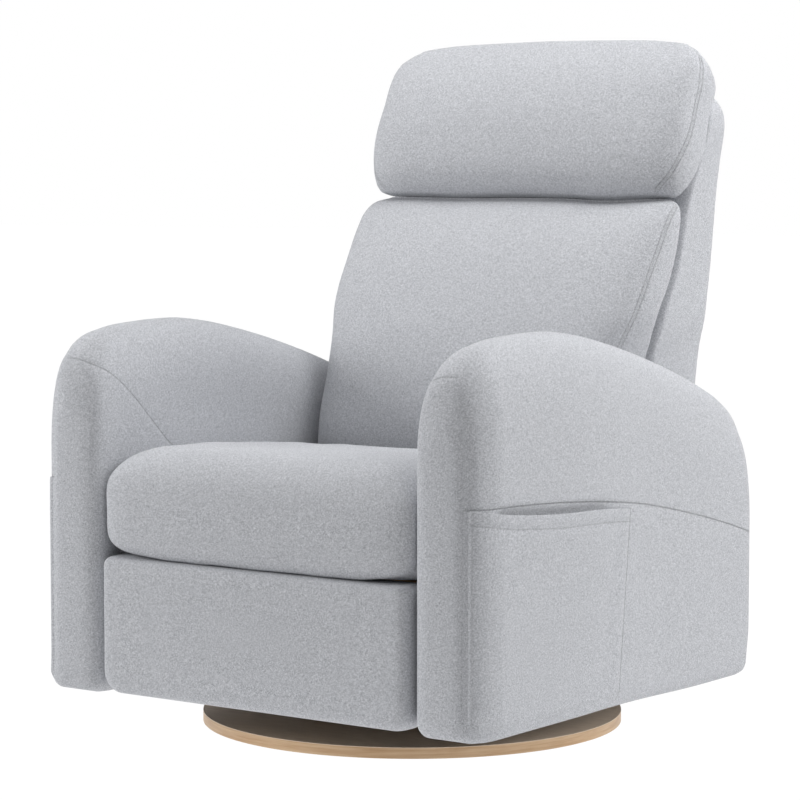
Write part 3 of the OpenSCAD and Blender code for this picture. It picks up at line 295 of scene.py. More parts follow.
def arm_ring(y, inset):
    """Ring at depth y with its sides drawn in by inset. Foot corners are quarter circles, and each half
    of the arch is a quarter oval, x = cos^(2/n) and z = sin^(2/n) with n = 2.35, from side to ridge."""
    xi, xo = ARM_IN + inset, ARM_OUT - inset + full_side(y)
    ridge, top = np.clip(RIDGE, xi, xo), smooth(y, ridge_y, ridge_z) - 0.3 * inset
    low = ARM_LOW - FOOT_FALL * ramp(y, -0.1, 0.25) + 0.75 * inset
    t = np.linspace(0, np.pi / 2, 44)[None, :]
    c, s = bend(np.cos(t), ARCH_ORDER), bend(np.sin(t), ARCH_ORDER)
    outer_x, outer_z = ridge + (xo - ridge) * c, top - ARCH_OUT + ARCH_OUT * s
    inner_x, inner_z = ridge + (xi - ridge) * c[:, ::-1], top - ARCH_IN + ARCH_IN * s[:, ::-1]
    r = np.minimum(ARM_FOOT_ROUND, (xo - xi) / 2)
    q = np.linspace(0, np.pi / 2, 8)[None, :]
    foot_in_x, foot_in_z = xi + r - r * np.cos(q), low + r - r * np.sin(q)
    foot_out_x, foot_out_z = xo - r + r * np.sin(q), low + r - r * np.cos(q)
    up = np.linspace(0.02, 0.98, 64)[None, :]
    side_out_z = foot_out_z[:, -1:] + (outer_z[:, :1] - foot_out_z[:, -1:]) * up
    side_in_z = inner_z[:, -1:] + (foot_in_z[:, :1] - inner_z[:, -1:]) * up
    xs = [foot_in_x, foot_out_x, xo + 0 * side_out_z, outer_x, inner_x[:, 1:], xi + 0 * side_in_z]
    zs = [foot_in_z, foot_out_z, side_out_z, outer_z, inner_z[:, 1:], side_in_z]
    return np.concatenate(xs, axis=1), np.concatenate(zs, axis=1)


def arm_surface(y, inset):
    """The rings with what foam and cloth do to them: the hollow behind the pocket, the swell toward the
    seat, the valley at the corner seam and a foot that draws forward at the rear."""
    y, inset = y[:, None], inset[:, None]
    x, z = arm_ring(y, inset)
    on_end = np.interp(1 - inset / ARM_HALF, corner_t, outline_s[:CORNER_STEPS])
    on_side = np.interp(y, outline_y[CORNER_STEPS - 1:], outline_s[CORNER_STEPS - 1:])
    along = np.where(y > 0, 1.0, np.where(inset > 0, on_end, on_side))
    y = y + 0 * x
    outer = x > RIDGE
    hollow = ramp(y, -0.362, -0.335) * (1 - ramp(y, -0.120, -0.035)) * ramp(z, 0.100, 0.120)
    hollow = HOLLOW * hollow * (1 - ramp(z - smooth(y, hem_y, hem_z), 0.004, 0.013)) * outer
    swell = SWELL * ramp(z, 0.08, 0.20) * (1 - ramp(z, 0.40, 0.50))
    swell = swell * ramp(y, -0.39, -0.25) * (1 - ramp(y, 0.2, 0.36)) * (x < RIDGE)
    dip = valley(along, z) * ramp(x, 0.350, 0.368) * outer
    nx, ny = outward(along)
    back_foot = BACK_FOOT * (1 - ramp(z, ARM_LOW, 0.135)) * ramp(y, 0.28, ARM_REAR)
    return np.stack([x - hollow - swell - dip * nx, y - dip * ny - back_foot, z], axis=-1)


def arm_grid():
    """Rings from front to rear. With k from 0 in the middle of an end to 1 at its edge, the inset is
    half (1 - k) and the depth 1 - (1 - k^n)^(1/n), with n the order of the ends."""
    k = np.linspace(0, 1, 22) ** 0.6
    inset = ARM_HALF * (1 - k)
    rise = END_ROUND * (1 - (1 - k**END_ORDER) ** (1 / END_ORDER))
    mid_y = np.linspace(ARM_FRONT + rise[-1], ARM_REAR - rise[-1], 150)[1:-1]
    y = np.concatenate([ARM_FRONT + rise, mid_y, (ARM_REAR - rise)[::-1]])
    return arm_surface(y, np.concatenate([inset, 0 * mid_y, inset[::-1]]))


print("points of an arm", arm_grid().shape[:2])

# %% [markdown]
# The seams of an arm
#
# A brow seam crosses the front just below the arch and runs down the inner side. A long side seam
# starts above the pocket and falls to the rear. The corner seam is so tight that it is only hinted at.

# %% Arm covers
BROW_Z, BROW_STRENGTH, CORNER_STRENGTH = 0.552, 0.6, 0.2


def arm_seams(obj):
    """Brow, side and corner seam. The brow's distance changes from one measured on the inner side to one
    measured on the front as x goes from 0.300 to 0.330."""
    x, y, z = points(obj).T
    x = np.abs(x)
    inner = line_distance(y, z, [-0.398, -0.380, -0.348, -0.304, -0.271, -0.241, -0.150, 0.370],
                          [0.552, 0.545, 0.524, 0.486, 0.454, 0.425, 0.385, 0.330])
    brow = inner + (z - BROW_Z - inner) * ramp(x, 0.300, 0.330)
    behind = ramp(y, -0.386, -0.380)
    across = 1 - ramp(x, 0.330, 0.340) * behind - ramp(x, 0.366, 0.372) * (1 - behind)
    side = line_distance(y, z, side_seam_y, side_seam_z)
    on_side = ramp(x, RIDGE, 0.360) * ramp(y, CORNER_Y - 0.002, CORNER_Y + 0.002)
    corner = np.interp(y, outline_y, outline_s)
    on_corner = CORNER_STRENGTH * ramp(x, RIDGE, 0.355) * band(z, 0.07, 0.34, 0.03)
    store(obj, (brow, BROW_STRENGTH * across, y), (side, on_side, y), (corner, on_corner, z))


for side, sign in (("right", 1), ("left", -1)):
    arm_seams(grid_mesh("arm_cover_" + side, arm_grid() * np.array([sign, 1, 1]), "chassis", ["arm_" + side]))

# %% [markdown]
# Pockets
#
# A panel of padded cloth is sewn to the outer side of each arm in front, below and behind, and hangs a
# little open at its hem. It could be a copy of the side with a thickness, but it has to gape, pucker
# under its row of stitches and tuck in at the corner. So it is its own closed ring grid, laid off the
# outline of the arm: each ring goes up the outside and comes down the inside.

# %% Pocket covers
POCKET_LOW, HEM_LONG, FOOT_LONG = 0.074, 0.3795, 0.3465
HEM_STITCH, HEM_GAPE, PUCKER = 0.0195, 0.0038, 0.0012
CLOTH_EDGE, CLOTH_BODY = 0.0003, 0.0018
# Besides the seam, the rear edge's strength paints a shadow line just behind the pocket's edge.
HEM_STRENGTH, REAR_SEAM_AND_SHADOW = 0.45, 1.5


def pocket_grid(rows=150, columns=100):
    """Closed ring grid. Depth runs along the rows with t from 0 to 1, and bend(cos, 9) and bend(sin, 9)
    make each ring a thin flat box. Its lift off the arm is a sum of the steps and bumps named below."""
    t = np.linspace(0, 1, rows)[:, None] ** 1.3
    y_top, y_low = CORNER_Y + HEM_LONG * t, CORNER_Y + FOOT_LONG * t
    high_z = smooth(y_top, hem_y, hem_z)
    v = np.linspace(0, 2 * np.pi, columns, endpoint=False)[None, :]
    up, out = 0.5 - 0.5 * bend(np.cos(v), 9), bend(np.sin(v), 9)
    z = POCKET_LOW + (high_z - POCKET_LOW) * up
    y = y_low + (y_top - y_low) * up
    s = np.interp(y, outline_y, outline_s)
    nx, ny = outward(s)
    rim = ramp(t, 0, 0.09) * (1 - ramp(t, 0.965, 1)) * ramp(up, 0, 0.05)
    gape = HEM_GAPE * ramp(up, 0.60, 1) * np.sin(np.pi * np.clip(1.12 * t - 0.12, 0, 1)) ** 0.8 * rim
    pucker = PUCKER * np.exp(-(((high_z - z - HEM_STITCH) / 0.006) ** 2)) * rim
    tuck = 1 - ramp(t, 0, 0.012)
    foot = 0.006 * (1 - ramp(z, 0.071, 0.090))
    rear_edge = 0.0016 * ramp(t, 0.88, 0.97)
    thick = (CLOTH_EDGE + CLOTH_BODY * (1 - tuck)) * out
    lift = 0.0008 + 0.0004 * rim - 0.0024 * tuck - foot + rear_edge + gape - pucker + thick - valley(s, z)
    return np.stack([np.interp(s, outline_s, outline_x) + lift * nx, y + lift * ny, z], axis=-1)


def pocket_seams(obj):
    """A row of stitches 20 mm below the hem and the stitched rear edge, which leans from foot to hem. The
    rear line is partly a seam and partly a painted shadow of the proud edge.
    """
    x, y, z = points(obj).T
    lean = (HEM_LONG - FOOT_LONG) * (z - POCKET_LOW) / (hem_z[-1] - POCKET_LOW)
    rear = CORNER_Y + FOOT_LONG + lean
    hem = z - smooth(y, hem_y, hem_z) + HEM_STITCH
    # Painted shadow: the rear line lies 0.5 mm behind the pocket's edge and darkens the cloth where the proud
    # edge casts shade.
    store(obj, (hem, HEM_STRENGTH, y), (y - rear - 0.0005, REAR_SEAM_AND_SHADOW, z))


for side, sign in (("right", 1), ("left", -1)):
    pocket = capped(pocket_grid(), (0, 0, 0), (0, 0, 0), 3) * np.array([sign, 1, 1])
    pocket_seams(grid_mesh("pocket_cloth_" + side, pocket, "chassis", ["pocket_" + side]))

# %% [markdown]
# Seat cushion
#
# A thick block of foam, crowned on top and bulging over the footrest panel. Its front is what one sees,
# so the rings stand upright and follow each other from front to rear: the upper half rises in a wide
# arc, the lower half drops in a tight one, and the width draws in at the front corners.

# %% Seat cushion cover
SEAT_HALF, SEAT_FRONT, SEAT_REAR = 0.274, -0.397, 0.052
SEAT_LOW, SEAT_BELLY, SEAT_HIGH = 0.2690, 0.338, 0.433
TOP_ARC, UNDER_ARC, SIDE_ARC, REAR_ARC = 0.085, 0.016, 0.042, 0.05
FRONT_WIDER, SEAT_FALL = 0.007, 0.032


def superarc(d, r, n):
    """Height on a rounded edge, 0 at its start and 1 from r on: (1 - (1 - d / r)^n)^(1/n)."""
    return (1 - (1 - np.minimum(d / r, 1)) ** n) ** (1 / n)


def seat_grid(rows=120, columns=240):
    """Rings x = half cos^(2/n), z = height sin^(2/n) at the distance d behind the front, with n about 5
    above and 5.5 to 14.5 below. Half width and both heights are worked out with superarc."""
    length = SEAT_REAR - SEAT_FRONT
    even = np.linspace(0, 1, rows)
    d = (length * even**1.5 + length * (0.5 - 0.5 * np.cos(np.pi * even)))[:, None] / 2
    rear, wide = superarc(length - d, REAR_ARC, 3), superarc(d, SIDE_ARC, 2.7)
    half = (SEAT_HALF + FRONT_WIDER * (1 - ramp(d, 0.012, 0.036))) * rear * (0.92 + 0.08 * wide) * wide**0.18
    drop = SEAT_FALL * (d / length) ** 2
    low = (SEAT_BELLY - SEAT_LOW) * superarc(d, UNDER_ARC, 2.4) - drop / 2
    high = (SEAT_HIGH - SEAT_BELLY - drop) * superarc(d, TOP_ARC, 2.5) + drop / 2
    v = np.linspace(0, 2 * np.pi, columns, endpoint=False)[None, :]
    c, s = np.cos(v), np.sin(v)
    n = np.where(s < 0, 5.5 + 9 * ramp(d, 0.02, 0.06), 5.1)
    z = SEAT_BELLY - drop / 2 + np.where(s < 0, low, high) * rear * bend(s, n)
    return np.stack([half * bend(c, n), SEAT_FRONT + d + 0 * z, z], axis=-1)


seat_cushion = grid_mesh("seat_cushion_cover", uneven(seat_grid()), "seat", ["seat_cushion"])
store(seat_cushion)

# %% [markdown]
# Back shell
#
# The back is a tall shell of cloth over a frame, and two cushions lie in front of it. All three lean,
# and their outline changes with height, so they are level rings that climb from the seat to the top.
# The shell is boxy: a high order keeps its faces flat up to a tight edge, with one seam near each side.

# %% Back cover
shell_z = [0.190, 0.206, 0.250, 0.300, 0.400, 0.497, 0.544, 0.604,
           0.678, 0.761, 0.799, 0.844, 0.906, 0.925, 0.941]
shell_front = [0.283, 0.274, 0.243, 0.228, 0.220, 0.226, 0.235, 0.260,
               0.300, 0.326, 0.340, 0.366, 0.392, 0.402, 0.416]
shell_rear = [0.330, 0.334, 0.348, 0.362, 0.386, 0.405, 0.414, 0.423,
              0.432, 0.441, 0.445, 0.451, 0.459, 0.450, 0.435]
shell_half = [0.264, 0.2695, 0.271, 0.272, 0.275, 0.275, 0.275, 0.2805,
              0.2805, 0.2805, 0.2805, 0.2805, 0.280, 0.275, 0.264]
SHELL_FRONT_ORDERS, SHELL_REAR_ORDERS, SHELL_SEAM_X = (11, 5), (9, 9), 0.240


def level_grid(z, half, front, split, rear, front_orders, rear_orders, columns=200):
    """Level rings: x = half cos^(2/m), y = split plus or minus depth sin^(2/n), with one pair (m, n) in
    front and one behind. A high m and a low n give a flat face with soft corners."""
    z, half, front, split, rear = (np.asarray(a, float)[:, None] for a in (z, half, front, split, rear))
    v = np.linspace(0, 2 * np.pi, columns, endpoint=False)[None, :]
    c, s = np.cos(v), np.sin(v)
    x = half * bend(c, np.where(s < 0, front_orders[0], rear_orders[0]))
    depth = np.where(s < 0, split - front, rear - split)
    y = split + depth * bend(s, np.where(s < 0, front_orders[1], rear_orders[1]))
    return np.stack([x, y, z + 0 * x], axis=-1)


ring_z = np.concatenate([[0.190, 0.1925, 0.197], np.linspace(0.206, 0.925, 90), [0.932, 0.937, 0.941]])
front, rear = smooth(ring_z, shell_z, shell_front), smooth(ring_z, shell_z, shell_rear)
split = np.minimum(front + 0.018, (front + rear) / 2)
shell = level_grid(ring_z, smooth(ring_z, shell_z, shell_half), front, split, rear,
                   SHELL_FRONT_ORDERS, SHELL_REAR_ORDERS)
back_shell = grid_mesh("back_cover", capped(shell, (0, 0, -0.001), (0, 0, 0.006)), "back", ["back_shell"])
x, y, z = points(back_shell).T
rear_face = smooth(z, shell_z, shell_rear)
store(back_shell, (np.abs(x) - SHELL_SEAM_X, ramp(y, rear_face - 0.04, rear_face - 0.03), z))

# %% [markdown]
# The joint and the edge seams of the two cushions
#
# The upper cushion sits on the lower one, and their joint sinks where the filling is softer. A double
# seam runs down both front edges of each cushion. Its place is given as a length behind the front, and
# the ring's own formula tells how wide the cushion is there.

# %% Joint and edge seams
SAGS = ((0.16, 0.06, 0.004), (-0.12, 0.05, 0.0015))


def sag(x):
    """The joint sinks by exp(-((x - place) / width)^2) of a depth, once for each row of the table."""
    return -sum(depth * np.exp(-(((x - place) / width) ** 2)) for place, width, depth in SAGS)


def edge_seam(obj, ring_z, front, split, half, orders, behind_z, behind):
    """Signed distance from the double seam. At each height the seam lies the length behind the front
    where the ring, x = half (1 - s^n)^(1/m), meets it, and distance is measured across the ring."""
    x, y, z = points(obj).T
    f, middle, a = (np.interp(z, ring_z, t) for t in (front, split, half))
    back = smooth(z, behind_z, behind)
    s = np.clip(1 - back / (middle - f), 0, 1)
    at = a * (1 - s ** orders[1]) ** (1 / orders[0])
    return np.sign(y - f - back) * np.hypot(np.abs(x) - at, y - f - back)


print("the joint sinks by", [round(float(-sag(place)) * 1000, 1) for place, _, _ in SAGS], "mm")

# %% [markdown]
# Lower back cushion
#
# It is narrow above the seat, widens toward the shoulders and rolls over under the upper cushion. Seen
# from the side a dark line parts it from the shell. So its rear edge is pinched in a little.

# %% Lower back cushion cover
LUMBAR_HALF, LUMBAR_SPLIT, LUMBAR_ORDERS = 0.275, 0.022, (6, 3.4)

top_z = 0.740 + 0.0425 * np.sin(np.linspace(0.1, np.pi / 2, 14))
ring_z = np.concatenate([np.linspace(0.300, 0.330, 8), np.linspace(0.338, 0.740, 84), top_z])
lumbar_z = [0.300, 0.320, 0.355, 0.400, 0.453, 0.514, 0.560,
            0.612, 0.697, 0.738, 0.760, 0.771, 0.777, 0.781]
lumbar_front = [0.120, 0.095, 0.076, 0.069, 0.075, 0.092, 0.113,
                0.139, 0.191, 0.223, 0.246, 0.264, 0.280, 0.302]
width_z = [0.300, 0.320, 0.355, 0.570, 0.612, 0.665, 0.734, 0.758, 0.770, 0.777, 0.7822]
width_shares = [0.930, 0.985, 1.000, 1.010, 1.055, 1.078, 1.074, 1.069, 1.054, 1.030, 0.980]
front = smooth(ring_z, lumbar_z, lumbar_front)
half = LUMBAR_HALF * smooth(ring_z, width_z, width_shares)
rear = smooth(ring_z, shell_z, shell_front)
split = rear - LUMBAR_SPLIT
rings = level_grid(ring_z, half, front, split, rear, LUMBAR_ORDERS, LUMBAR_ORDERS, 260)
pinch = smooth(ring_z, [0.740, 0.757, 0.768, 0.776, 0.7825], [0.2765, 0.2755, 0.2715, 0.264, 0.252])
pinched = np.maximum(1 - pinch / half, 0)[:, None]
rings[..., 0] *= 1 - pinched * ramp(rings[..., 1], rear[:, None] - 0.045, rear[:, None] - 0.004)
rings[..., 2] += sag(rings[..., 0]) * ramp(rings[..., 2], 0.70, 0.76)
cushion = capped(uneven(rings, 0.0006), (0, 0, -0.004), (0, 0, 0.001))
back_cushion = grid_mesh("back_cushion_cover", cushion, "back", ["back_cushion"])
level = points(back_cushion)[:, 2]
seam = edge_seam(back_cushion, ring_z, front, split, half, LUMBAR_ORDERS,
                 [0.30, 0.45, 0.56, 0.63, 0.72, 0.778], [0.050, 0.047, 0.042, 0.039, 0.034, 0.022])
store(back_cushion, double=(seam, 1 - ramp(level, 0.772, 0.776), level))

# %% [markdown]
# Upper back cushion
#
# The plumpest piece: it overhangs the lower cushion in front, and its top rolls back over the shell.
# Its face is broad with soft corners and its rear is rounder, so each has its own pair of orders.

# %% Upper back cushion cover
HEAD_HALF, HEAD_SPLIT, HEAD_ORDERS, HEAD_REAR_ORDERS = 0.287, 0.03, (8, 2.6), (2.8, 2.5)

low_z = 0.808 - 0.0245 * np.cos(np.linspace(0, np.pi / 2, 12, endpoint=False))
top_z = 0.985 + 0.044 * np.sin(np.linspace(0.1, np.pi / 2, 16))
ring_z = np.concatenate([low_z, np.linspace(0.808, 0.985, 44), top_z])
face_z = [0.7835, 0.788, 0.797, 0.812, 0.835, 0.878, 0.935, 0.976, 0.996, 1.013, 1.024, 1.029]
face = [0.304, 0.288, 0.276, 0.267, 0.263, 0.269, 0.290, 0.314, 0.331, 0.351, 0.366, 0.376]
nape_z = [0.7835, 0.799, 0.844, 0.906, 0.935, 0.955, 0.976, 0.996, 1.013, 1.024, 1.029]
nape = [0.334, 0.344, 0.368, 0.391, 0.407, 0.412, 0.409, 0.404, 0.398, 0.391, 0.384]
width_z = [0.7835, 0.788, 0.797, 0.812, 0.835, 0.940, 0.972, 0.993, 1.010, 1.021, 1.0265, 1.029]
width_shares = [0.920, 0.962, 0.995, 1.018, 1.031, 1.036, 1.022, 0.998, 0.952, 0.885, 0.810, 0.660]
front, rear = smooth(ring_z, face_z, face), smooth(ring_z, nape_z, nape)
half = HEAD_HALF * smooth(ring_z, width_z, width_shares)
split = np.maximum(rear - HEAD_SPLIT, (front + rear) / 2)
rings = level_grid(ring_z, half, front, split, rear, HEAD_ORDERS, HEAD_REAR_ORDERS, 260)
rings[..., 2] += (0.001 - 0.006 * (rings[..., 0] / 0.25) ** 2) * ramp(rings[..., 2], 0.95, 1.02)
rings[..., 2] += sag(rings[..., 0]) * (1 - ramp(rings[..., 2], 0.80, 0.86))
cushion = capped(uneven(rings), (0, 0, -0.001), (0, 0, 0.001))
head_cushion = grid_mesh("head_cushion_cover", cushion, "back", ["head_cushion"])
level = points(head_cushion)[:, 2]
seam = edge_seam(head_cushion, ring_z, front, split, half, HEAD_ORDERS,
                 [0.786, 0.80, 0.83, 0.88, 0.93, 0.98, 1.03],
                 [0.003, 0.008, 0.024, 0.044, 0.049, 0.040, 0.014])
store(head_cushion, double=(seam, band(level, 0.800, 1.012, 0.008), level))

# %% [markdown]
# Footrest panel
#
# A board with foam and cloth round it that closes the front of the chair. It is boxy with soft edges.
# A bevelled box would do, but its lower corners are rounder than the upper ones, and the upper edge is
# tighter than the others, so it is a rounded oblong that draws in toward the front.

# %% Footrest cover
PANEL_HALF, PANEL_TOP, PANEL_FOOT, PANEL_TALL = 0.274, 0.268, 0.067, 0.100
PANEL_REAR, PANEL_THICK, PANEL_MIDDLE = -0.348, 0.051, 0.167
TOP_CORNER, LOW_CORNER, EDGE_ROUND, EDGE_ORDER, TOP_EDGE_SHARE = 0.012, 0.030, 0.030, 4.2, 0.35


def panel_outline():
    """Rounded oblong in x and z: four quarter circles, joined by straight stretches."""
    q = np.linspace(0, np.pi / 2, 16)
    corners = []
    for k, (side, z, r) in enumerate([(1, PANEL_TOP, TOP_CORNER), (-1, PANEL_TOP, TOP_CORNER),
                                      (-1, PANEL_FOOT, LOW_CORNER), (1, PANEL_FOOT, LOW_CORNER)]):
        centre = (side * (PANEL_HALF - r), z - r if k < 2 else z + r)
        turn = q + k * np.pi / 2
        corners.append(np.stack([centre[0] + r * np.cos(turn), centre[1] + r * np.sin(turn)], axis=-1))
    stretches = []
    for k, steps in enumerate([70, 26, 70, 26]):
        a, b = corners[k][-1], corners[(k + 1) % 4][0]
        stretches += [corners[k], a + (b - a) * np.linspace(0, 1, steps)[1:-1, None]]
    return np.concatenate(stretches)


def panel_grid(rows=40):
    """The oblong from rear to front with t from 0 to 1. It draws in by 30 mm times
    1 - (1 - t^n)^(1/n) with n = 4.2, and by 0.35 of that at its upper edge."""
    t = np.linspace(0, 1, rows)[:, None] ** 0.6
    pull = EDGE_ROUND * (1 - (1 - np.minimum(t, 0.9997) ** EDGE_ORDER) ** (1 / EDGE_ORDER))
    ring = panel_outline()
    centre, span = np.array([0, PANEL_MIDDLE]), np.array([PANEL_HALF, PANEL_TALL])
    upright = np.where(ring[:, 1] > PANEL_MIDDLE, TOP_EDGE_SHARE, 1.0)
    share = np.stack([np.ones(len(ring)), upright], axis=-1)[None]
    ring = centre + (ring - centre) * (1 - share * pull[:, :, None] / span)
    return np.stack([ring[..., 0], PANEL_REAR - PANEL_THICK * t + 0 * ring[..., 0], ring[..., 1]], axis=-1)


panel = capped(panel_grid(), (0, 0, 0), (0, -0.0012, 0), 24)
foot_panel = grid_mesh("footrest_cover", panel, "footrest", ["footrest_pad", "footrest_board"])
store(foot_panel)

# %% [markdown]
# Materials
#
# Each finish starts from what the real piece is made of. Colours are sRGB hex values, as one reads them
# off a swatch, and one function turns them into the linear light that shading needs. Patterns are
# worked out from real lengths: the scale of a pattern is 1 over its size in metres, on object
# coordinates, so that they stay put when the piece moves.

# %% Colour and nodes
def linear(hex_colour):
    """sRGB hex to linear RGBA: c / 12.92 below 0.04045, else ((c + 0.055) / 1.055)^2.4."""
    c = np.array([int(hex_colour[i:i + 2], 16) / 255 for i in (1, 3, 5)])
    c = np.where(c <= 0.04045, c / 12.92, ((c + 0.055) / 1.055) ** 2.4)
    return (*c, 1.0)


def add(tree, kind, inputs=(), out=0, **settings):
    """Adds a node, sets its properties, and fills its inputs from pairs of a name or number and a value
    or another node's output. Gives back the output that out names."""
    node = tree.nodes.new("ShaderNode" + kind)
    for name, value in settings.items():
        setattr(node, name, value)
    for name, value in inputs:
        if isinstance(value, bpy.types.NodeSocket):
            tree.links.new(value, node.inputs[name])
        else:
            node.inputs[name].default_value = value
    return node.outputs[out]


print("mid grey #808080 in linear light", round(float(linear("#808080")[0]), 3))


# %% Plain material, grains and colour mix
def blank(name, colour, roughness, metallic=0.0, specular=0.5):
    """A principled material with plain values: its tree, its shader's inputs and object coordinates."""
    material = bpy.data.materials.new(name)
    material.use_nodes = True
    material.diffuse_color = linear(colour)
    tree = material.node_tree
    inputs = tree.nodes["Principled BSDF"].inputs
    inputs["Base Color"].default_value = linear(colour)
    inputs["Roughness"].default_value = roughness
    inputs["Metallic"].default_value = metallic
    inputs["Specular IOR Level"].default_value = specular
    return material, tree, inputs, add(tree, "TexCoord", out="Object")


def grains(tree, where, size, detail=2.0, stretch=(1, 1, 1), rough=0.5):
    """A pattern of grains size metres across, drawn out along the axes by stretch."""
    place = add(tree, "Mapping", [("Vector", where), ("Scale", tuple(1 / s for s in stretch))])
    return add(tree, "TexNoise", [("Vector", place), ("Scale", 1 / size), ("Detail", detail),
                                  ("Roughness", rough)])


def tint(tree, factor, low, high, first, second):
    """Colour that goes from first to second as factor goes from low to high."""
    t = add(tree, "MapRange", [("Value", factor), ("From Min", low), ("From Max", high)])
    return add(tree, "Mix", [("Factor", t), (6, linear(first)), (7, linear(second))], out=2, data_type="RGBA")


print("a grain of 0.6 mm has the scale", round(1 / 0.0006))

# %% [markdown]
# Upholstery
#
# A short felted weave in light cool grey. It gives the eye a soft surface without any sparkle, pale
# flecks over darker yarn, and a faint glow along its edges. The real fibres are too fine to show, so the
# grains are drawn as coarse as they need to be, 0.6 mm, with 2.6 mm flecks over them. Seams are read from
# the stored distances: a narrow groove, a wide soft roll beside it, and at a double seam two rows of
# stitches with a beat for each stitch.
# The grooves and the rows of stitches also darken the colour, as painted shade.

# %% Felted cloth
YARN, FLECK = 0.0006, 0.0026
GROOVE, ROLL, DOUBLE_GROOVE, DOUBLE_ROLL = 0.0012, 0.005, 0.0009, 0.008
ROW_APART, ROW_WIDTH, THREAD_WIDTH, STITCH = 0.0034, 0.0012, 0.0008, 0.0042
PILE_DEPTH = 0.0011


def seam_parts(tree, name):
    """Distance without its sign, strength and run of a stored seam."""
    vector = add(tree, "Attribute", out="Vector", attribute_name=name)
    distance = add(tree, "SeparateXYZ", [(0, vector)])
    strength, run = distance.node.outputs[1], distance.node.outputs[2]
    return add(tree, "Math", [(0, distance)], operation="ABSOLUTE"), strength, run


def ditch(tree, distance, width, strength):
    """strength exp(-(distance / width)^2)"""
    ratio = add(tree, "Math", [(0, distance), (1, width)], operation="DIVIDE")
    square = add(tree, "Math", [(0, ratio), (1, ratio)], operation="MULTIPLY")
    minus = add(tree, "Math", [(0, square), (1, -1.0)], operation="MULTIPLY")
    fall = add(tree, "Math", [(0, minus)], operation="EXPONENT")
    return add(tree, "Math", [(0, fall), (1, strength)], operation="MULTIPLY")


def weighed(tree, *parts):
    """Sum of values times their weights, from (value, weight) pairs."""
    total = 0.0
    for value, weight in parts:
        total = add(tree, "Math", [(0, value), (1, weight), (2, total)], operation="MULTIPLY_ADD")
    return total


def felt(tree, where):
    """The yarns: round grains, the higher of two crossing sets of threads, and flecks."""
    grain = grains(tree, where, YARN, 1)
    threads = [grains(tree, where, YARN, 1, stretch) for stretch in ((2.2, 2.2, 0.6), (0.6, 0.6, 2.2))]
    weave = add(tree, "Math", [(0, threads[0]), (1, threads[1])], operation="MAXIMUM")
    return weighed(tree, (grains(tree, where, FLECK, 2), 0.15), (weave, 0.40), (grain, 0.45))


def seam_relief(tree):
    """Four heights for the seams: groove, roll, the rows of the double seam and its thread, where the
    thread rises by |sin(pi run / stitch)|^0.6."""
    dent, roll = 0.0, 0.0
    for seam in ("seam_a", "seam_b", "seam_c"):
        distance, strength, _ = seam_parts(tree, seam)
        dent = weighed(tree, (dent, 1.0), (ditch(tree, distance, GROOVE, strength), 1.0))
        roll = weighed(tree, (roll, 1.0), (ditch(tree, distance, ROLL, strength), 1.0))
    distance, strength, run = seam_parts(tree, "double")
    dent = weighed(tree, (dent, 1.0), (ditch(tree, distance, DOUBLE_GROOVE, strength), 0.35))
    roll = weighed(tree, (roll, 1.0), (ditch(tree, distance, DOUBLE_ROLL, strength), 1.0))
    off_row = add(tree, "Math", [(0, distance), (1, ROW_APART)], operation="SUBTRACT")
    beside = add(tree, "Math", [(0, off_row)], operation="ABSOLUTE")
    turn = add(tree, "Math", [(0, run), (1, np.pi / STITCH)], operation="MULTIPLY")
    swing = add(tree, "Math", [(0, turn)], operation="SINE")
    beat = add(tree, "Math", [(0, swing)], operation="ABSOLUTE")
    stitch = add(tree, "Math", [(0, beat), (1, 0.6)], operation="POWER")
    thread = ditch(tree, beside, THREAD_WIDTH, strength)
    thread = add(tree, "Math", [(0, thread), (1, stitch)], operation="MULTIPLY")
    return dent, roll, ditch(tree, beside, ROW_WIDTH, strength), thread


def cloth(name, light, dark):
    """Felted cloth: its colour goes from dark to light with the yarns, and painted shade darkens it in the
    grooves and stitch rows.
    """
    material, tree, inputs, where = blank(name, light, 0.93, 0.0, 0.25)
    yarns = felt(tree, where)
    dent, roll, rows, thread = seam_relief(tree)
    # Painted shade: grooves and stitch rows darken the colour by up to 0.32, where shade would fall in them.
    groove_darkening = add(tree, "Math", [(0, weighed(tree, (dent, 1.0), (rows, 0.9))), (1, 1.0)], operation="MINIMUM")
    painted_shade = add(tree, "Math", [(0, groove_darkening), (1, -0.32), (2, 1.0)], operation="MULTIPLY_ADD")
    colour = add(tree, "Mix", [("Factor", 1.0), (6, tint(tree, yarns, 0.45, 0.59, dark, light)), (7, painted_shade)],
                 out=2, data_type="RGBA", blend_type="MULTIPLY")
    tree.links.new(colour, inputs["Base Color"])
    inputs["Sheen Weight"].default_value = 0.12
    inputs["Sheen Roughness"].default_value = 0.5
    height = weighed(tree, (dent, -0.8), (yarns, 0.30), (roll, -0.6), (rows, -0.75), (thread, 0.6))
    relief = add(tree, "Bump", [("Height", height), ("Distance", PILE_DEPTH), ("Strength", 1.0)])
    tree.links.new(relief, inputs["Normal"])
    return material


looks = {"grey_cloth": cloth("grey felted upholstery cloth", "#e2e3e7", "#8b8e94")}
print("cloth nodes", len(looks["grey_cloth"].node_tree.nodes))

# %% [markdown]
# Wood
#
# The base is a veneered board with a pale lacquered edge, and inside are plywood and pine. Fibres are
# grains drawn out along one axis, with finer pores among them, and plywood has a glue line each few
# millimetres. A photograph of wood would show finer figure, but it would be tied to one shape and size.

# %% Planed wood
FIBRE, PORE, WOOD_DEPTH = 0.006, 0.0012, 0.0002


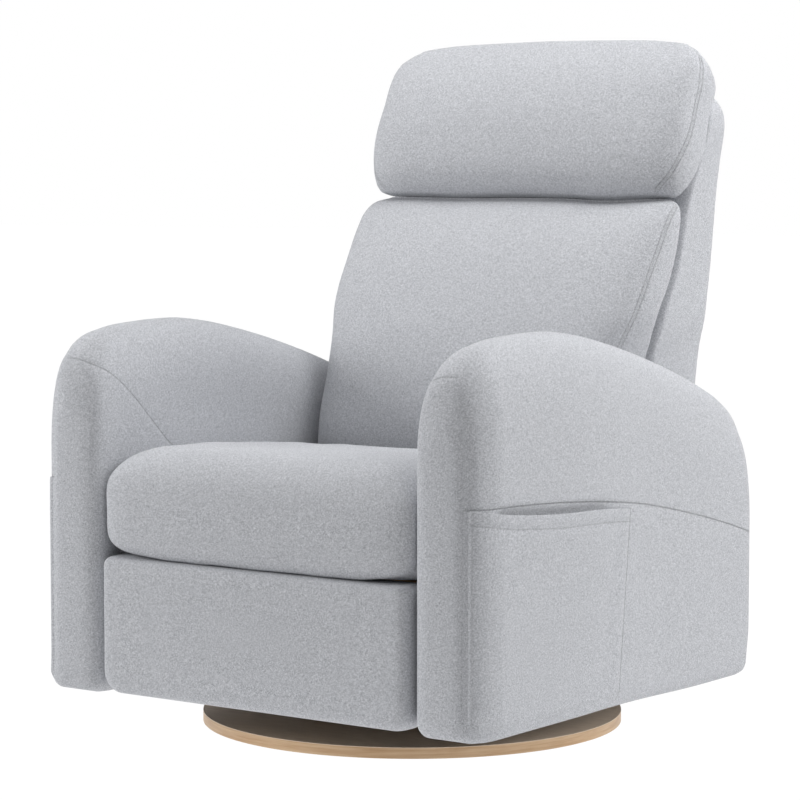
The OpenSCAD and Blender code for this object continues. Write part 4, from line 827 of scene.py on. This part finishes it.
def wood(name, light, dark, roughness, along=(8, 1, 1), plies=0.0):
    """Planed wood: 0.7 fibres and 0.3 pores, and a sine over the height where plies gives its length."""
    material, tree, inputs, where = blank(name, light, roughness, 0.0, 0.4)
    fibres = grains(tree, where, FIBRE, 5, along, 0.6)
    pores = grains(tree, where, PORE, 2, tuple(3 * a for a in along))
    figure = weighed(tree, (pores, 0.3), (fibres, 0.7))
    if plies:
        level = add(tree, "SeparateXYZ", [(0, where)], out=2)
        turn = add(tree, "Math", [(0, level), (1, 2 * np.pi / plies)], operation="MULTIPLY")
        figure = weighed(tree, (figure, 1.0), (add(tree, "Math", [(0, turn)], operation="SINE"), 0.12))
    tree.links.new(tint(tree, figure, 0.32, 0.68, dark, light), inputs["Base Color"])
    relief = add(tree, "Bump", [("Height", figure), ("Distance", WOOD_DEPTH), ("Strength", 1.0)])
    tree.links.new(relief, inputs["Normal"])
    return material


looks |= {
    # Clear satin lacquer over pale oak: warm, with a soft shine along the rim.
    "oak_edge": wood("oak veneer edge, satin lacquer", "#e0c19c", "#c09870", 0.42, (14, 14, 0.7)),
    # Top veneer of the disc: the same oak as the edge, painted paler than it as painted light, since it lies
    # in the chair's shade, where it reads as dull taupe.
    "dark_skin": wood("taupe stained top veneer, satin", "#efd9c0", "#dac3a8", 0.42, (9, 1, 1)),
    # Raw plywood: matt, with a thin line for each ply.
    "plywood": wood("birch plywood, raw edge", "#cdb189", "#a58761", 0.7, (6, 6, 1), 0.0028),
    # Planed pine: matt and yellowish, with long fibres.
    "frame_wood": wood("pine frame, planed", "#d2b184", "#b08c5e", 0.65, (1, 7, 1)),
}
print("woods", [name for name in looks if name != "grey_cloth"])

# %% [markdown]
# Metal
#
# Links and plates are powder coated, screws and tubes zinc plated, pins turned bright and springs oiled.
# What tells them apart is how sharp their shine is, so fine grains vary roughness and height.

# %% Metals
def metal(name, colour, roughness, size, stretch=(1, 1, 1), metallic=1.0, depth=0.00005):
    """Metal or painted metal: grains of size metres move the roughness from 0.07 below to 0.09 above."""
    material, tree, inputs, where = blank(name, colour, roughness, metallic, 0.5)
    fine = grains(tree, where, size, 3, stretch)
    rough = add(tree, "MapRange", [("Value", fine), ("From Min", 0.3), ("From Max", 0.7),
                                   ("To Min", roughness - 0.07), ("To Max", roughness + 0.09)])
    tree.links.new(rough, inputs["Roughness"])
    relief = add(tree, "Bump", [("Height", fine), ("Distance", depth), ("Strength", 1.0)])
    tree.links.new(relief, inputs["Normal"])
    return material


looks |= {
    # Powder coat is paint: no metal in its shine, and a fine orange peel.
    "black_steel": metal("steel, satin black powder coat", "#242527", 0.5, 0.0008, (1, 1, 1), 0.0, 0.00008),
    # Zinc shows broad pale crystals.
    "zinc_steel": metal("steel, zinc plated", "#a9adb0", 0.38, 0.004, (1, 1, 1), 1.0, 0.00003),
    # The brightest metal here: a sharp shine with fine streaks.
    "bright_steel": metal("steel, turned bright", "#bfc2c4", 0.28, 0.0012, (6, 1, 1)),
    # Oil makes drawn wire darker, and drawing leaves streaks.
    "spring_steel": metal("spring wire, oiled", "#6d6f72", 0.35, 0.0012, (1, 4, 4)),
}
print("finishes so far", len(looks))

# %% [markdown]
# Rubber, plastic and lining
#
# Moulded pieces have the fine grain of their mould and hardly any figure. Lining is a matt nonwoven.

# %% Moulded pieces and the list of finishes
CLOUD, DARKER = 0.03, 0.86


def moulded(name, colour, roughness, size, depth=0.00008, specular=0.4):
    """Rubber or plastic with a fine grain of size metres and clouds of 30 mm, darker by up to a seventh."""
    material, tree, inputs, where = blank(name, colour, roughness, 0.0, specular)
    fine = grains(tree, where, size, 2)
    dark = "#" + "".join(f"{int(int(colour[i:i + 2], 16) * DARKER):02x}" for i in (1, 3, 5))
    clouds = tint(tree, grains(tree, where, CLOUD, 2), 0.3, 0.7, dark, colour)
    tree.links.new(clouds, inputs["Base Color"])
    relief = add(tree, "Bump", [("Height", fine), ("Distance", depth), ("Strength", 1.0)])
    tree.links.new(relief, inputs["Normal"])
    return material


looks |= {
    # Dull and grippy under the base.
    "pad_rubber": moulded("anti-slip rubber, matt", "#2a2a2b", 0.85, 0.0009),
    # A little smoother, darker stops.
    "buffer_rubber": moulded("buffer rubber, matt", "#1b1b1c", 0.75, 0.0007),
    # Milky white and waxy.
    "nylon": moulded("natural nylon", "#e2ddd1", 0.45, 0.0008, 0.00004, 0.5),
    # Fine leather-like grain with a low shine.
    "black_plastic": moulded("black moulded plastic, fine grain", "#222224", 0.5, 0.0006),
    # Without any shine.
    "dust_cloth": moulded("black nonwoven dust cloth", "#1c1c1d", 0.95, 0.0008, 0.0002, 0.1),
}
slots = {part["node"]: part["material_slot"] for part in frame["record"]["subparts"]}
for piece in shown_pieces():
    slot = slots.get(piece.name, "grey_cloth")
    piece.data.materials.clear()
    piece.data.materials.append(looks[slot])

# %% [markdown]
# Camera
#
# It was fitted to the photograph: the rim of the round base gives distance and lens, and the two arms
# give the turn of the chair.

# %% Fitted camera
camera_data = bpy.data.cameras.new("camera")
camera_data.lens, camera_data.sensor_width = 129.19, 36
camera = bpy.data.objects.new("camera", camera_data)
camera.location = (2.4943, -3.4906, 0.8207)
camera.rotation_euler = np.radians([85.489, 0, 35.794])
bpy.context.scene.collection.objects.link(camera)
bpy.context.scene.camera = camera
print("camera distance", round(float(np.linalg.norm(camera.location)), 2), "m")

# %% [markdown]
# Light
#
# A catalogue studio: one wide soft light overhead, two on the right, high and behind, and the strongest
# one at the front left. The edge of the arm that faces the camera lies between them and stays darkest.

# %% Soft lights
def area_light(name, place, aim, size, power):
    """A square soft light at place, size metres wide, that shines toward aim."""
    data = bpy.data.lights.new(name, "AREA")
    data.size, data.energy = size, power
    lamp = bpy.data.objects.new(name, data)
    d = np.array(aim, float) - np.array(place, float)
    lamp.location = place
    lamp.rotation_euler = (np.arctan2(np.hypot(d[0], d[1]), -d[2]), 0, np.arctan2(-d[0], d[1]))
    bpy.context.scene.collection.objects.link(lamp)
    print(name, power, "W")


area_light("overhead", (0.3, -0.3, 3.0), (0, 0, 0.5), 2.4, 49)
area_light("high right", (2.3, 0.5, 2.7), (0, 0, 0.5), 1.8, 36)
area_light("rear right", (2.6, 2.2, 1.5), (0, 0.1, 0.5), 1.8, 46)
area_light("front left", (-2.9, -2.1, 1.4), (0, 0, 0.5), 1.8, 72)

# %% [markdown]
# Floor
#
# A plain white floor. To the camera it shines white. To everything else it is pale and matt, except
# near the base, where it glows, as a floor that is lit from all sides throws light up under a chair.

# %% White floor
FLOOR_REACH, FLOOR_GREY, FLOOR_GLOW, GLOW_NEAR, GLOW_FAR = 30, 0.82, 1.04, 0.35, 0.85
WHITE = (1, 1, 1, 1)

floor_mesh = bpy.data.meshes.new("floor")
corners = [(x * FLOOR_REACH, y * FLOOR_REACH, 0) for x, y in ((-1, -1), (1, -1), (1, 1), (-1, 1))]
floor_mesh.from_pydata(corners, [], [(0, 1, 2, 3)])
floor = bpy.data.objects.new("floor", floor_mesh)
bpy.context.scene.collection.objects.link(floor)
floor_look = bpy.data.materials.new("pale floor")
floor_look.use_nodes = True
tree = floor_look.node_tree
matt = add(tree, "BsdfDiffuse", [("Color", (FLOOR_GREY, FLOOR_GREY, FLOOR_GREY, 1))])
glow = add(tree, "Emission", [("Color", WHITE), ("Strength", FLOOR_GLOW)])
seen = add(tree, "LightPath", out="Is Camera Ray")
away = add(tree, "VectorMath", [(0, add(tree, "TexCoord", out="Object"))], out="Value", operation="LENGTH")
near = add(tree, "MapRange", [("Value", away), ("From Min", GLOW_NEAR), ("From Max", GLOW_FAR),
                              ("To Min", 0.95), ("To Max", 0.05)])
share = add(tree, "MapRange", [("Value", seen), ("To Min", near), ("To Max", 0.97)])
mixed = add(tree, "MixShader", [(0, share), (1, matt), (2, glow)])
tree.links.new(mixed, tree.nodes["Material Output"].inputs["Surface"])
floor_mesh.materials.append(floor_look)
print("floor glows within", GLOW_NEAR, "m and is matt from", GLOW_FAR, "m")

# %% [markdown]
# Room
#
# The room lights the chair faintly from all sides and looks white to the camera. Standard view keeps
# each colour about as it is written.

# %% Pale room
ROOM_LIGHT = 0.135

world = bpy.data.worlds.new("world")
bpy.context.scene.world = world
world.use_nodes = True
tree = world.node_tree
room = tree.nodes["Background"]
room.inputs["Color"].default_value = WHITE
room.inputs["Strength"].default_value = ROOM_LIGHT
backdrop = add(tree, "Background", [("Color", WHITE), ("Strength", 1.0)])
seen = add(tree, "LightPath", out="Is Camera Ray")
mixed = add(tree, "MixShader", [(0, seen), (1, room.outputs[0]), (2, backdrop)])
tree.links.new(mixed, tree.nodes["World Output"].inputs["Surface"])
bpy.context.scene.view_settings.view_transform = "Standard"
print("room light", ROOM_LIGHT)
